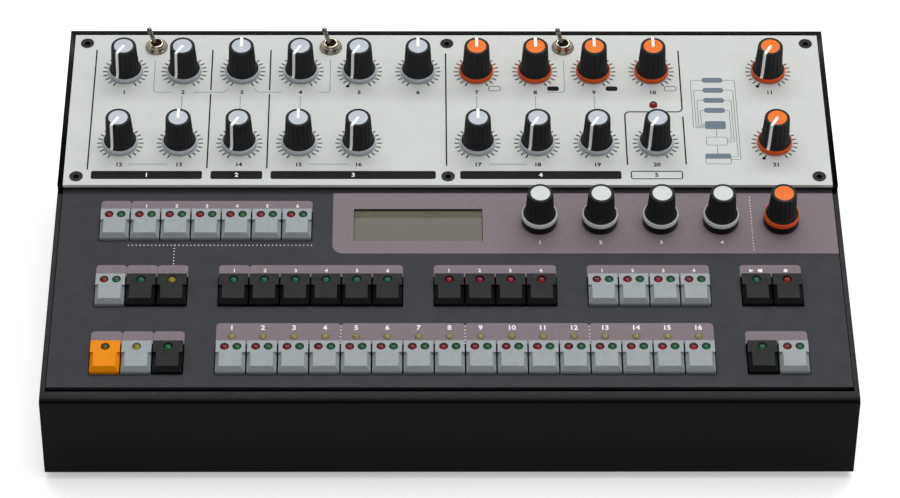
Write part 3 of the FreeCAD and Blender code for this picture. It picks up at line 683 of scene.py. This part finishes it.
class DrumStage(bpy.types.PropertyGroup):
    """Camera and light of the product photograph."""
    lens: bpy.props.FloatProperty(name="Lens", description="Focal length", default=138.9, unit="CAMERA")
    sky: bpy.props.FloatProperty(
        name="Sky", description="Strength of the even light all round", default=0.4, min=0)
    softbox: bpy.props.FloatProperty(
        name="Softbox", description="Power of the light overhead", default=16.0, unit="POWER")
    strip: bpy.props.FloatProperty(
        name="Strip", description="Power of the long light behind", default=16.0, unit="POWER")


# Case and panels

class DRUM_OT_case(bpy.types.Operator):
    """Powder-coated steel case with its folded front ledge, on four turned rubber feet"""
    bl_idname = "drum.case"
    bl_label = "Case and feet"

    def execute(self, context):
        form = bmesh.new()
        form.from_mesh(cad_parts["case_shell"].data)
        bmesh.ops.remove_doubles(form, verts=form.verts, dist=0.002 * MM)
        bmesh.ops.dissolve_limit(form, angle_limit=math.radians(0.5), verts=form.verts, edges=form.edges)
        shell = bpy.data.meshes.new("case")
        form.to_mesh(shell)
        form.free()
        shell.materials.append(finish("case"))
        shell.shade_smooth()
        shell.set_sharp_from_angle(angle=math.radians(30))
        piece("case", shell, "case", ["case_shell"])
        rubber = finish("foot")
        radius = 8.0
        foot = turned("foot", [
            (0, 0.0), (5.2, 0.0), (5.4, 0.4), (6.4, 0.4), (6.9, 0.1), (7.5, 0.5), (7.9, 1.4), (7.95, 2.95),
            (0, 2.95)], 40, rubber)
        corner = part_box("feet")[1]
        points = [(i * (corner.x / MM - radius), j * (corner.y / MM - radius), 0)
                  for i in (-1, 1) for j in (-1, 1)]
        piece("turned_feet", repeated("feet", foot, points, 0.0, rubber), "case", ["feet"])
        return {"FINISHED"}


class DRUM_OT_panels(bpy.types.Operator):
    """Painted front sheet and the pale plate above it, with the boards and switches underneath"""
    bl_idname = "drum.panels"
    bl_label = "Panels and boards"

    def execute(self, context):
        for key, names in (("panel", ("lower_panel",)), ("plate", ("upper_panel",)),
                           ("fibre", ("lower_board", "upper_board")),
                           ("nylon", ("key_switches", "pot_bodies", "encoder_bodies", "lcd_module"))):
            for name in names:
                finish_node(name, finish(key))
        return {"FINISHED"}


# Print

class DRUM_OT_plate_print(bpy.types.Operator):
    """Dial ticks, section rules, connecting lines and the signal diagram on the pale plate"""
    bl_idname = "drum.plate_print"
    bl_label = "Print on the plate"

    def execute(self, context):
        sizes = context.scene.drum_print
        dark, white = finish("ink_black"), finish("ink_white")
        prints = self.dials(sizes, dark) + self.sections(sizes, dark) + self.wires(sizes) + self.diagram()
        parts = [(mesh, place(0, 0, PLATE_INK)) for mesh in prints]
        titles = [(str(i + 1), u, 120.6) for i, u in enumerate((-127.7, -89.6, -40.2, 39.3))]
        parts.append((numerals("section numbers", titles, 3.1, white, 0.1), place(0, 0, PLATE_WHITE)))
        piece("plate_print", assembled("plate print", parts), "case")
        return {"FINISHED"}

    def dials(self, sizes, ink):
        """Ticks and a number round each dial, a dot at some first ticks, and tags by the mixer dials."""
        spots = [(column * GRID, row, 0) for name, column, row, middle, warm in KNOBS]
        prints = [printed("dial ticks", tick_tree(), spots, [], {
            "Inner Radius": sizes.tick_inner, "Outer Radius": sizes.tick_outer,
            "Width": sizes.tick_width, "Ink": ink})]
        labels = [(str(i + 1), u, v - 12.5) for i, (u, v, h) in enumerate(spots)]
        prints.append(numerals("dial numbers", labels, 3.0, ink, 0.1))
        first_tick, reach, dot = math.radians(240), 10.1, 0.8
        for column, row in ((-3, HIGH_KNOBS), (11, HIGH_KNOBS), (11, LOW_KNOBS)):
            u = column * GRID + reach * math.cos(first_tick)
            v = row + reach * math.sin(first_tick)
            prints.append(tile("dial dot", (u - dot, v - dot), (u + dot, v + dot), dot, ink))
        for column, filled in ((1, False), (3, True), (5, True), (7, False)):
            u, v = column * GRID, HIGH_KNOBS
            outline = rounded((u + 5.2, v - 11.5), (u + 10.3, v - 8.8), 1.0)
            prints.append(slab("tag", outline, 0, INK, ink) if filled else
                          lines("tag", [closed(outline)], 0.3 * MM, 0, ink))
        return prints

    def sections(self, sizes, ink):
        """Rules between the sections, and a title bar under each, the last one open with its number."""
        rules = [[(-152.9, 194.8), (-152.9, 123.8)], [(-0.6, 192.8), (-0.6, 126.0)],
                 [(101.2, 194.4), (101.2, 157.6), (76.3, 157.6), (76.3, 126.5)],
                 [(101.3, 154.8), (101.3, 126.8)]]
        for u in (-102.3, -76.9):
            rules += [[(u, 194.8), (u, 170.3)], [(u, 168.1), (u, 124.5)]]
        prints = [lines("rules", rules, sizes.rule_width, 2.2, ink)]
        for low, high in ((-151.2, -104.2), (-100.6, -78.7), (-75.2, -5.2), (5.1, 73.5)):
            outline = rounded((low, 118.35), (high, 122.95), 0.9)
            prints.append(slab("title bar", outline, 0, BAR_INK, ink))
        ring = closed(rounded((77.7, 118.5), (99.4, 122.8), 0.9))
        prints.append(lines("title box", [ring], 0.5 * MM, 0, ink))
        prints.append(numerals("section number", [("5", 88.5, 120.6)], 3.1, ink, 0.1))
        return prints

    def wires(self, sizes):
        """Thin lines that link the toggles and dials of a section."""
        level, foot = 169.2, 126.9
        runs = [
            [(-127.1, 188.4), (-127.1, level), (-119.3, level)],
            [(-109.8, level), (-96.6, level), (-94.8, 171.3)],
            [(-83.6, 171.3), (-81.8, level), (-71.6, level)],
            [(-55.4, level), (-50.8, level), (-50.8, 188.6)],
            [(43.0, level), (50.8, level), (50.8, 188.6)]]
        runs += [[(u, 166.9), (u, 147.0)] for u in (-114.6, -89.4, -63.5, 12.7, 38.1, 63.5)]
        spans = ((-135.8, -119.4), (-59.0, -42.2), (17.8, 33.6))
        runs += [[(low, foot), (high, foot)] for low, high in spans]
        return [lines("thin lines", runs, sizes.wire_width, 1.6, finish("ink_line"))]

    def diagram(self):
        """Unlettered boxes and wires of the signal path."""
        slate = finish("ink_grey")
        left, right = 110.6, 119.6
        foot_left, foot_right, foot_top = 109.8, 120.6, 132.9
        prints = [tile("source box", (left, v - 2.9), (right, v), 1.2, slate)
                  for v in (178.0, 171.9, 165.9, 159.9)]
        prints.append(tile("filter box", (left, 147.4), (119.5, 152.1), 0.8, slate))
        prints.append(tile("output box", (foot_left, 130.1), (foot_right, foot_top), (0, 0, 0.8, 0.8), slate))
        runs = [closed(rounded((110.7, 138.0), (right, 142.7), 0.8)),
                closed(rounded((foot_left, 127.1), (foot_right, foot_top), 0.8)),
                [(115.2, 147.4), (115.2, 142.7)], [(115.1, 138.0), (115.1, foot_top)]]
        for i, (v, low, end) in enumerate((
                (176.5, 129.6, foot_right), (170.4, 131.2, foot_right), (164.5, 139.9, right),
                (158.4, 141.0, right))):
            near, far, entry = 105.6 + 1.15 * i, 124.8 - 1.1 * i, 148.2 + 0.7 * i
            runs.append([(left, v), (near, v), (near, entry), (left, entry)])
            runs.append([(right, v), (far, v), (far, low), (end, low)])
        return prints + [lines("signal lines", runs, 0.28 * MM, 0.7, slate)]


class DRUM_OT_panel_print(bpy.types.Operator):
    """Mauve label strips, step numbers, transport symbols and dotted lines on the dark sheet"""
    bl_idname = "drum.panel_print"
    bl_label = "Print on the panel"

    def execute(self, context):
        depth = context.scene.drum_keys.depth / MM
        parts = [(mesh, place(0, 0, SHEET_INK)) for mesh in self.areas(depth, finish("mauve"))]
        size = context.scene.drum_print.number / MM
        over = place(0, 0, SHEET_WHITE)
        parts += [(mesh, over) for mesh in self.marks(depth, size, finish("ink_white"))]
        piece("panel_print", assembled("panel print", parts), "case")
        return {"FINISHED"}

    def areas(self, depth, ink):
        """Strips behind the keys, and the wide area in four parts round the display's window."""
        prints = []
        for row, reach, ends in STRIPS:
            for first, last in ends:
                low = (first * GRID - 6.3, row + depth + 0.46)
                high = (last * GRID + 6.3, row + depth + reach)
                prints.append(tile("label strip", low, high, (0, 0, 1.6, 1.6), ink))
        left, front, right, rear = -48.5, 79.1, 162.65, 113.0
        window_left, window_front, window_right, window_rear = -39.7, 86.1, 14.3, 104.0
        prints.append(tile("area left", (left, front), (window_left, rear), (4.5, 0, 0, 0), ink, 8))
        for low, high in (((window_left, front), (window_right, window_front)),
                          ((window_left, window_rear), (window_right, rear)),
                          ((window_right, front), (right, rear))):
            prints.append(tile("label area", low, high, 0, ink))
        return prints

    def marks(self, depth, size, ink):
        """White numbers, the play, stop and record symbols and the dotted lines."""
        steps = counted(STEP_COLUMNS[0], len(STEP_COLUMNS), STEP_ROW + depth + 9.0)
        level = depth + 3.9
        small = counted(-10, 6, TRACK_ROW + level)
        for first, count in ((5, 4), (-7, 6), (0, 4)):
            small += counted(first, count, PAGE_ROW + level)
        small += [(str(i + 1), column * GRID, 85.2) for i, (name, column, warm) in enumerate(ENCODERS[:4])]
        v = PAGE_ROW + level
        play = [(124.6, v - 0.95), (126.6, v), (124.6, v + 0.95)]
        dots = [[(127.3, 110.6), (127.3, 81.2)], [(-133.5, 83.6), (-57.2, 83.6)],
                [(-114.3, 83.6), (-114.3, 73.4)]]
        strip = STEP_ROW + depth
        dots += [[(u * GRID, strip + 0.8), (u * GRID, strip + 9.6)] for u in (-3.5, 0.5, 4.5)]
        return [numerals("step numbers", steps, size, ink, 0.12),
                numerals("small numbers", small, 2.5, ink, 0.08),
                slab("play mark", play, 0, INK, ink),
                tile("stop mark", (128.2, v - 0.85), (130.1, v + 0.85), 0, ink),
                tile("record mark", (138.8, v - 0.9), (140.6, v + 0.9), 0.9, ink),
                along("dotted lines", dot_tree(), dots, {"Pitch": 1.6 * MM, "Radius": 0.27 * MM, "Ink": ink})]


class DRUM_OT_display(bpy.types.Operator):
    """Display under its window, with a darker band of shade along the rear rim"""
    bl_idname = "drum.display"
    bl_label = "Display"

    def execute(self, context):
        left, right, front, rear = -39.55, 14.15, 86.2, 103.9
        low, high = -1.4, -0.9
        # The band behind this line is painted shade: darker colours where the window's rear wall shades the
        # display.
        rim = rear - 4.3
        view = rounded((left, front), (right, rim), (0.3, 0.3, 0, 0))
        shade = rounded((left, rim), (right, rear), (0, 0, 0.3, 0.3))
        parts = [(slab("display field", view, low, high, finish("cells")), place(0, 0)),
                 (slab("display rim", shade, low, high, finish("painted_rear_shade")), place(0, 0))]
        piece("display", assembled("display", parts), "case", ["lcd_window"])
        return {"FINISHED"}


# Keys and lamps

def lamp_columns(count):
    """Where one lamp or two stand across a key."""
    return (0.0,) if count == 1 else (-2.54, 2.54)


def key_cap(sizes, count, made_of):
    """A cap with a flat lamp area behind and a pressing face with three slopes, and a hole for each lamp."""
    edge = sizes.width / MM / 2
    rear = sizes.depth / MM
    step = rear - sizes.lamp_area / MM
    bevel = sizes.bevel / MM
    base, shoulder, tread, top = -2.6, 1.2, 2.95, 3.2
    points = [(-edge, 0, base), (edge, 0, base), (edge, step, base), (edge, rear, base), (-edge, rear, base),
              (-edge, step, base), (-edge, 0, shoulder), (edge, 0, shoulder), (edge, step, shoulder),
              (-edge, step, shoulder), (bevel - edge, bevel, top), (edge - bevel, bevel, top),
              (edge - bevel, step, top), (bevel - edge, step, top), (edge, step, tread), (edge, rear, tread),
              (-edge, rear, tread), (-edge, step, tread), (edge - bevel, step, tread),
              (bevel - edge, step, tread)]
    faces = [(5, 4, 3, 2, 1, 0), (0, 1, 7, 6), (6, 7, 11, 10), (1, 2, 8, 7), (7, 8, 12, 11),
             (2, 3, 15, 14, 8), (3, 4, 16, 15), (4, 5, 9, 17, 16), (5, 0, 6, 9), (9, 6, 10, 13),
             (10, 11, 12, 13), (8, 14, 18, 12), (9, 13, 19, 17), (13, 12, 18, 19), (14, 15, 16, 17, 19, 18)]
    cap = shown("key cap", solid_mesh("key cap", points, faces, made_of))
    hole = turned("lamp hole", [(sizes.hole / MM, -4), (sizes.hole / MM, 5)], 28, made_of)
    middle = rear * MM - sizes.lamp_area / 2
    cuts = [(hole, Matrix.Translation((u * MM, middle, 0))) for u in lamp_columns(count)]
    cutter = shown("lamp holes", assembled("lamp holes", cuts))
    drill = cap.modifiers.new("Drill", "BOOLEAN")
    drill.object = cutter
    drill.solver = "EXACT"
    soften = cap.modifiers.new("Soften", "BEVEL")
    soften.width = sizes.edge
    soften.segments = 3
    soften.limit_method = "ANGLE"
    soften.angle_limit = math.radians(25)
    mesh = settled(cap)
    bpy.data.objects.remove(cutter)
    return mesh


class DRUM_OT_keys(bpy.types.Operator):
    """Moulded key caps in their banks, one piece for each bank that moves"""
    bl_idname = "drum.keys"
    bl_label = "Keys"

    def execute(self, context):
        sizes = context.scene.drum_keys
        caps = {}
        for name, first, row, lamps, colour in BANKS:
            parts = []
            for i, lamp in enumerate(lamps):
                tone = "grey" if name == "fill_lock_keys" and i == 1 else colour
                key = (tone, len(lamp))
                if key not in caps:
                    caps[key] = key_cap(sizes, len(lamp), finish(tone))
                parts.append((caps[key], place((first + i) * GRID, row)))
            piece(name + "_caps", assembled(name, parts), name, [name])
        return {"FINISHED"}


def lens(top):
    """Lens of a 3 mm lamp, with its flange below and its dome up to that height."""
    dome = [(1.7 * math.cos(a), top - 1.0 + math.sin(a)) for a in (0, 0.3, 0.6, 0.85, 1.1, 1.3, 1.45)]
    return [(0, -3.3), (1.74, -3.3), (1.74, -2.5), (1.7, -2.5)] + dome + [(0, top)]


class DRUM_OT_lamps(bpy.types.Operator):
    """Epoxy lamps in the keys, over the step keys and on the plate, all unlit"""
    bl_idname = "drum.lamps"
    bl_label = "Lamps"

    def execute(self, context):
        sizes = context.scene.drum_keys
        middle = (sizes.depth - sizes.lamp_area / 2) / MM
        in_key, in_sheet, on_plate = 3.3, 0.9, 4.5
        spots = {}
        for name, first, row, lamps, colour in BANKS:
            for i, lamp in enumerate(lamps):
                for tone, u in zip(lamp, lamp_columns(len(lamp))):
                    spots.setdefault((tone, in_key), []).append(((first + i) * GRID + u, row + middle, 0))
        strip = STEP_ROW + sizes.depth / MM + 4.5
        spots[("khaki", in_sheet)] = [(column * GRID, strip, 0) for column in STEP_COLUMNS]
        spots[("red", on_plate)] = [(7 * GRID, 161.6, 0)]
        parts = []
        for (tone, top), points in spots.items():
            template = turned("lens", lens(top), 20, finish(tone), 60)
            parts.append((repeated("lamps", template, points, 0.0, finish(tone)), place(0, 0)))
        piece("lamps", assembled("lamps", parts), "case", ["leds"])
        return {"FINISHED"}


# Knobs, encoders and toggles

def sleeve_profile(sizes, seat, top):
    """Rubber sleeve: a flare at its foot, a slow taper and a rounded top edge round the cap."""
    turns = [k * math.pi / 12 for k in range(7)]
    flare = [(6.92 - math.sin(a), seat + 3.4 * (1 - math.cos(a))) for a in turns]
    start, end = flare[-1][1], top - 0.5
    wall = [(5.92 - 0.52 * t / 8, start + (end - start) * t / 8) for t in range(1, 9)]
    edge = [(4.9 + 0.5 * math.cos(a), end + 0.5 * math.sin(a)) for a in (0.4, 0.8, 1.2, 1.57)]
    cap = sizes.cap / MM
    return [(0, seat)] + flare + wall + edge + [(cap, top), (cap, top - 0.2), (0, top - 0.2)]


def pointer_mesh(sizes, seat, top):
    """White line from near the middle of the cap, over its edge and down the sleeve to its foot."""
    half = sizes.pointer / MM / 2
    lift = 0.07
    outer = sleeve_profile(sizes, seat, top)[1:16]
    side = [(r + lift, h) for r, h in reversed(outer) if h > seat + 0.1] + [(6.94 + lift, seat + 0.05)]
    bend = [(4.9, top + lift), (5.18, top - 0.02), (5.36, top - 0.2), (5.46, top - 0.45)]
    turns = [k * math.pi / 8 for k in range(1, 5)]
    run = [(half * (1 - math.cos(a)) - 0.5, top + lift, half * math.sin(a)) for a in turns]
    run += [(r, h, half) for r, h in bend + side]
    points = []
    for reach, height, wide in run:
        points += [(-wide, reach, height), (wide, reach, height)]
    for reach, height, wide in run:
        inner = reach - 0.5 if height < top - 0.1 else reach
        points += [(-wide, inner, height - 0.3), (wide, inner, height - 0.3)]
    under = 2 * len(run)
    last = under - 2
    faces = [(0, 1, under + 1, under), (last, last + under, last + under + 1, last + 1)]
    for a in range(0, last, 2):
        b = a + under
        faces += [(a, a + 2, a + 3, a + 1), (b, b + 1, b + 3, b + 2), (a, b, b + 2, a + 2),
                  (a + 1, a + 3, b + 3, b + 1)]
    return solid_mesh("pointer", points, faces, finish("pointer"))


def knob_parts(sizes, seat, top, skirt, core):
    """Meshes of one knob about the deck's normal: fluted sleeve, cap, skirt and shaft."""
    rubber = finish("sleeve")
    sleeve = turned("sleeve", sleeve_profile(sizes, seat, top), 126, rubber, 50)
    parts = [grown("fluted sleeve", flute_tree(), sleeve, {
        "Flutes": sizes.flutes, "Depth": sizes.flute_depth, "Low": (seat + 1.2) * MM,
        "High": (top - 0.35) * MM, "Fade": 2.2 * MM, "Finish": rubber})]
    edge = sizes.cap / MM - 0.02
    cap = [(0, top - 0.4), (edge, top - 0.4), (edge, top - 0.03), (edge - 0.23, top), (0, top)]
    parts.append(turned("cap", cap, 48, core, 50))
    return parts + [turned("skirt", profile, 72, made_of, 40) for profile, made_of in skirt]


class DRUM_OT_knobs(bpy.types.Operator):
    """Fluted rubber knobs with coloured cores and white pointers, at the settings in the photograph"""
    bl_idname = "drum.knobs"
    bl_label = "Knobs"

    def execute(self, context):
        sizes = context.scene.drum_knobs
        low = PLATE + 0.4
        seat = low + 1.9
        top = seat + sizes.height / MM
        wide = sizes.skirt / MM
        rim = [(0, low), (wide - 0.15, low), (wide, low + 0.15), (wide, low + 1.0), (wide - 0.12, seat - 0.4),
               (wide - 0.45, seat), (0, seat)]
        shaft = ([(0, 1.6), (2.9, 1.6), (2.9, low), (0, low)], finish("tin"))
        templates = {}
        for warm, core, cap in ((False, "core_grey", "core_grey"), (True, "core_orange", "cap_orange")):
            templates[warm] = knob_parts(sizes, seat, top, [(rim, finish(core)), shaft], finish(cap))
            templates[warm].append(pointer_mesh(sizes, seat, top))
        for name, column, row, middle, warm in KNOBS:
            at = place(column * GRID, row, 0, 0.0 if middle else LOW_POINTER)
            mesh = assembled("knob " + name, [(part, at) for part in templates[warm]])
            piece("knob_piece_" + name, mesh, "knob_" + name, ["knob_" + name])
        return {"FINISHED"}


class DRUM_OT_encoders(bpy.types.Operator):
    """Encoder knobs without pointers, on a black base under a light ring"""
    bl_idname = "drum.encoders"
    bl_label = "Encoders"

    def execute(self, context):
        sizes = context.scene.drum_knobs
        wide = sizes.skirt / MM
        low, waist, seat = 0.1, 3.6, 5.6
        base = [(0, low), (wide - 0.1, low), (wide, low + 0.2), (wide, waist - 0.1), (wide - 0.1, waist),
                (0, waist)]
        ring = [(0, waist), (wide, waist), (wide, seat - 0.8), (wide - 0.12, seat - 0.4), (wide - 0.45, seat),
                (0, seat)]
        shaft = ([(0, -4.4), (2.9, -4.4), (2.9, low), (0, low)], finish("tin"))
        for name, column, warm in ENCODERS:
            core = finish("core_orange" if warm else "core_pale")
            cap = finish("cap_orange" if warm else "core_pale")
            skirt = [(base, finish("base")), (ring, core), shaft]
            parts = knob_parts(sizes, seat, seat + sizes.encoder_height / MM, skirt, cap)
            at = place(column * GRID, ENCODER_ROW)
            mesh = assembled("encoder " + name, [(part, at) for part in parts])
            piece("encoder_piece_" + name, mesh, "encoder_" + name, ["encoder_" + name])
        return {"FINISHED"}


class DRUM_OT_toggles(bpy.types.Operator):
    """Nickel-plated toggle switches: a turned collar and a lever with a round tip, leaning left"""
    bl_idname = "drum.toggles"
    bl_label = "Toggle switches"

    def execute(self, context):
        nickel, nylon = finish("nickel"), finish("nylon")
        low, under = PLATE + 0.05, 1.45
        body = turned("collar", [
            (0, low), (4.85, low), (4.95, low + 0.2), (4.85, low + 0.5), (4.4, low + 0.75),
            (3.95, low + 1.15), (3.7, low + 1.7), (3.45, low + 2.3), (3.25, low + 2.75), (2.95, low + 3.0),
            (2.45, low + 3.0), (2.2, low + 2.8), (2.0, low + 1.0), (0, low + 0.9)], 56, nickel, 60)
        switch = slab("switch body", rounded((-6.35, -3.4), (6.35, 3.4), 0.4), -7.5, under, nylon)
        neck = turned("neck", [(0, under), (2.9, under), (2.9, low), (0, low)], 32, nickel)
        # The dark nylon disc at the floor of the collar's bore is partly painted shade: it stands for the
        # switch's dark inside and for the shade down the deep bore.
        throat = turned("throat", [
            (0, low + 0.92), (1.95, low + 0.92), (1.95, low + 1.0), (0, low + 1.0)], 32, nylon)
        parts = [(mesh, place(column * GRID, TOGGLE_ROW)) for name, column in TOGGLES
                 for mesh in (body, switch, neck, throat)]
        piece("toggle_collars", assembled("toggle collars", parts), "case", ["toggle_bodies"])
        tip = [(1.22 * math.cos(a), 10.75 + 1.22 * math.sin(a)) for a in (-0.9, -0.5, 0, 0.5, 0.9, 1.2, 1.4)]
        profile = [(0, 0.3), (0.92, 0.3), (0.95, 6.0), (0.9, 9.2)] + tip + [(0, 11.97)]
        rod = turned("lever", profile, 28, finish("steel"), 60)
        lean = Matrix.Translation((0, 0, 3.2 * MM)) @ Matrix.Rotation(math.radians(-14), 4, "Y")
        for name, column in TOGGLES:
            lever = assembled("lever " + name, [(rod, place(column * GRID, TOGGLE_ROW) @ lean)])
            piece("lever_" + name, lever, "toggle_" + name, ["toggle_" + name])
        return {"FINISHED"}


# Screws and sockets

class DRUM_OT_screws(bpy.types.Operator):
    """Six countersunk screws with hexagon sockets, each stopped at its own turn"""
    bl_idname = "drum.screws"
    bl_label = "Screws"

    def execute(self, context):
        top = PLATE - 0.05
        screw = turned("screw", [
            (0, -4.0), (1.5, -4.0), (1.5, 1.5), (2.85, top - 0.15), (2.9, top - 0.05), (2.75, top),
            (1.35, top), (1.25, top - 0.06, 6), (1.15, top - 0.2, 6), (1.15, top - 1.3, 6),
            (0, top - 1.6)], 48, finish("screw"), 35)
        mesh = repeated("screws", screw, SCREWS, math.pi, finish("screw"))
        mesh.transform(place(0, 0))
        piece("screws", mesh, "case", ["panel_screws"])
        return {"FINISHED"}


def rear_place(column):
    """On the back wall at that column of the grid, facing away from the player."""
    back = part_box("case_shell")[1].y
    spot = (column * GRID * MM, back - 2.05 * MM, REAR_HEIGHT * MM)
    return Matrix.Translation(spot) @ Matrix.Rotation(math.radians(-90), 4, "X")


class DRUM_OT_sockets(bpy.types.Operator):
    """Audio, data, round multi-pin and power sockets behind their holes in the back wall"""
    bl_idname = "drum.sockets"
    bl_label = "Rear sockets"

    def execute(self, context):
        nylon, tin = finish("nylon"), finish("tin")
        jack = turned("jack", [
            (0, -24.0), (6.4, -24.0), (6.4, 0.0), (4.2, 0.0), (4.0, 1.6), (3.35, 1.9), (3.25, 1.4),
            (3.25, -21.0), (0, -21.0)], 40, nylon)
        rim = turned("jack rim", [
            (3.28, -6.0), (3.8, 0.3), (3.75, 1.95), (3.4, 2.0), (3.2, 1.5), (3.2, -6.0)], 40, tin)
        din = turned("round socket", [
            (0, -12.0), (9.8, -12.0), (9.8, 0.0), (7.2, 0.0), (7.2, 1.8), (6.8, 1.9), (6.7, -8.0),
            (0, -8.0)], 48, nylon)
        shell = turned("round shell", [(6.75, -8.0), (6.78, 1.6), (6.5, 1.6), (6.5, -8.0)], 48, tin)
        pin = turned("contact", [
            (0, -8.0), (0.75, -8.0), (0.75, -1.2), (0.45, -0.9), (0.45, -3.0), (0, -3.0)], 16, tin)
        power = turned("power socket", [
            (0, -13.0), (5.0, -13.0), (5.0, 0.0), (3.5, 0.0), (3.5, 1.7), (3.0, 1.7), (3.0, -10.0),
            (0, -10.0)], 36, nylon)
        post = turned("power pin", [(0, -10.0), (0.95, -10.0), (0.95, -0.8), (0.6, -0.2), (0, -0.1)], 20, tin)
        parts = [(mesh, rear_place(column)) for column in JACKS for mesh in (jack, rim)]
        parts += [(mesh, rear_place(column)) for column in DINS for mesh in (din, shell)]
        for column in DINS:
            for angle in (-180, -135, -90, -45, 0):
                ray = Matrix.Rotation(math.radians(angle), 4, "Z") @ Vector((4.4 * MM, 0, 0))
                parts.append((pin, rear_place(column) @ Matrix.Translation(ray)))
        parts += [(mesh, rear_place(POWER)) for mesh in (power, post)]
        parts += [(mesh, rear_place(DATA)) for mesh in self.data_port(nylon, tin)]
        piece("sockets", assembled("sockets", parts), "case", ["rear_sockets"])
        return {"FINISHED"}

    def data_port(self, nylon, tin):
        """Square data socket: a tinned shell round a stepped tongue."""
        wide, tall, wall = 4.6, 4.2, 0.4
        walls = [((-wide, -tall), (wide, wall - tall)), ((-wide, tall - wall), (wide, tall)),
                 ((-wide, -tall), (wall - wide, tall)), ((wide - wall, -tall), (wide, tall))]
        meshes = [slab("shell wall", rounded(low, high, 0.1), -14.0, 1.6, tin) for low, high in walls]
        back = slab("shell back", rounded((-wide, -tall), (wide, tall), 0.1), -14.0, -11.5, nylon)
        return meshes + [back, slab("tongue", rounded((-2.6, -1.5), (2.6, 1.5), 0.3), -11.5, 0.6, nylon)]


# Stage

class DRUM_OT_stage(bpy.types.Operator):
    """Pale floor, soft light from above and the camera of the photograph"""
    bl_idname = "drum.stage"
    bl_label = "Stage"

    def execute(self, context):
        sizes = context.scene.drum_stage
        scene = context.scene
        scene.view_settings.view_transform = "Standard"
        reach = 6e3
        corners = [(-reach, -reach, 0), (reach, -reach, 0), (reach, reach, 0), (-reach, reach, 0)]
        shown("floor", solid_mesh("floor", corners, [(0, 1, 2, 3)], self.floor_finish()))
        target = Vector((0, 0, 0.05))
        for name, power, size, spot in (("softbox", sizes.softbox, (1.8, 1.8), (0.35, 0.05, 1.7)),
                                        ("strip", sizes.strip, (2.4, 0.32), (0.0, 0.91, 1.77))):
            light = bpy.data.lights.new(name, "AREA")
            light.energy = power
            light.shape = "RECTANGLE"
            light.size, light.size_y = size
            lamp = shown(name, light)
            lamp.location = spot
            lamp.rotation_euler = (target - lamp.location).to_track_quat("-Z", "Y").to_euler()
        world = bpy.data.worlds.new("studio")
        scene.world = world
        world.use_nodes = True
        world.node_tree.nodes.clear()
        sky = put(world.node_tree, "ShaderNodeBackground", {"Color": (1, 1, 1, 1), "Strength": sizes.sky})
        put(world.node_tree, "ShaderNodeOutputWorld", {"Surface": sky})
        self.aim(scene, sizes.lens)
        return {"FINISHED"}

    def floor_finish(self):
        """Matt white paper, a little brighter to the camera so that it prints as white paper does."""
        material = grained("matt white paper", "#F4F4F4", "#F6F6F6", 300.0, (0.86, 0.94), 40.0,
                           Emission_Color=(1, 1, 1, 1))
        tree = material.node_tree
        rays = put(tree, "ShaderNodeLightPath").outputs
        direct = put(tree, "ShaderNodeMath", {0: rays["Is Camera Ray"], 1: rays["Is Glossy Ray"]},
                     operation="ADD")
        seen = put(tree, "ShaderNodeMath", {0: direct, 1: rays["Is Transmission Ray"]}, operation="MAXIMUM")
        glow = 0.4
        lift = put(tree, "ShaderNodeMath", {0: seen, 1: glow}, operation="MULTIPLY")
        shader = found(tree, "ShaderNodeBsdfPrincipled")
        tree.links.new(lift.outputs[0], shader.inputs["Emission Strength"])
        return material

    def aim(self, scene, lens):
        """The camera from its place, turn, dip and roll, as found from the photograph's straight lines."""
        turn, dip, roll = 0.841, 37.682, -0.509
        pose = Matrix.Translation((-0.01629, -1.16649, 0.94179))
        for angle, axis in ((-turn, "Z"), (90 - dip, "X"), (-roll, "Z")):
            pose = pose @ Matrix.Rotation(math.radians(angle), 4, axis)
        camera = shown("camera", bpy.data.cameras.new("camera"))
        camera.data.lens = lens
        camera.data.sensor_width = 36.0
        camera.matrix_world = pose
        scene.camera = camera


GROUPS = {"drum_keys": DrumKeySizes, "drum_knobs": DrumKnobSizes, "drum_print": DrumPrintSizes,
          "drum_stage": DrumStage}
OPERATORS = (DRUM_OT_case, DRUM_OT_panels, DRUM_OT_plate_print, DRUM_OT_panel_print, DRUM_OT_display,
             DRUM_OT_keys, DRUM_OT_lamps, DRUM_OT_knobs, DRUM_OT_encoders, DRUM_OT_toggles, DRUM_OT_screws,
             DRUM_OT_sockets, DRUM_OT_stage)


class DRUM_PT_sidebar(bpy.types.Panel):
    """Lists the pieces of the drum machine with their sizes"""
    bl_idname = "DRUM_PT_sidebar"
    bl_label = "Drum machine"
    bl_space_type = "VIEW_3D"
    bl_region_type = "UI"
    bl_category = "Drum machine"

    def draw(self, context):
        for name, group in GROUPS.items():
            for size in group.__annotations__:
                self.layout.prop(getattr(context.scene, name), size)
        for operator in OPERATORS:
            self.layout.operator(operator.bl_idname)


def register():
    for group in (*GROUPS.values(), *OPERATORS, DRUM_PT_sidebar):
        bpy.utils.register_class(group)
    for name, group in GROUPS.items():
        setattr(bpy.types.Scene, name, bpy.props.PointerProperty(type=group))


def unregister():
    for name in GROUPS:
        delattr(bpy.types.Scene, name)
    for group in (DRUM_PT_sidebar, *reversed(OPERATORS), *GROUPS.values()):
        bpy.utils.unregister_class(group)


def main():
    register()
    for operator in OPERATORS:
        family, action = operator.bl_idname.split(".")
        getattr(getattr(bpy.ops, family), action)()


if __name__ == "__main__":
    main()
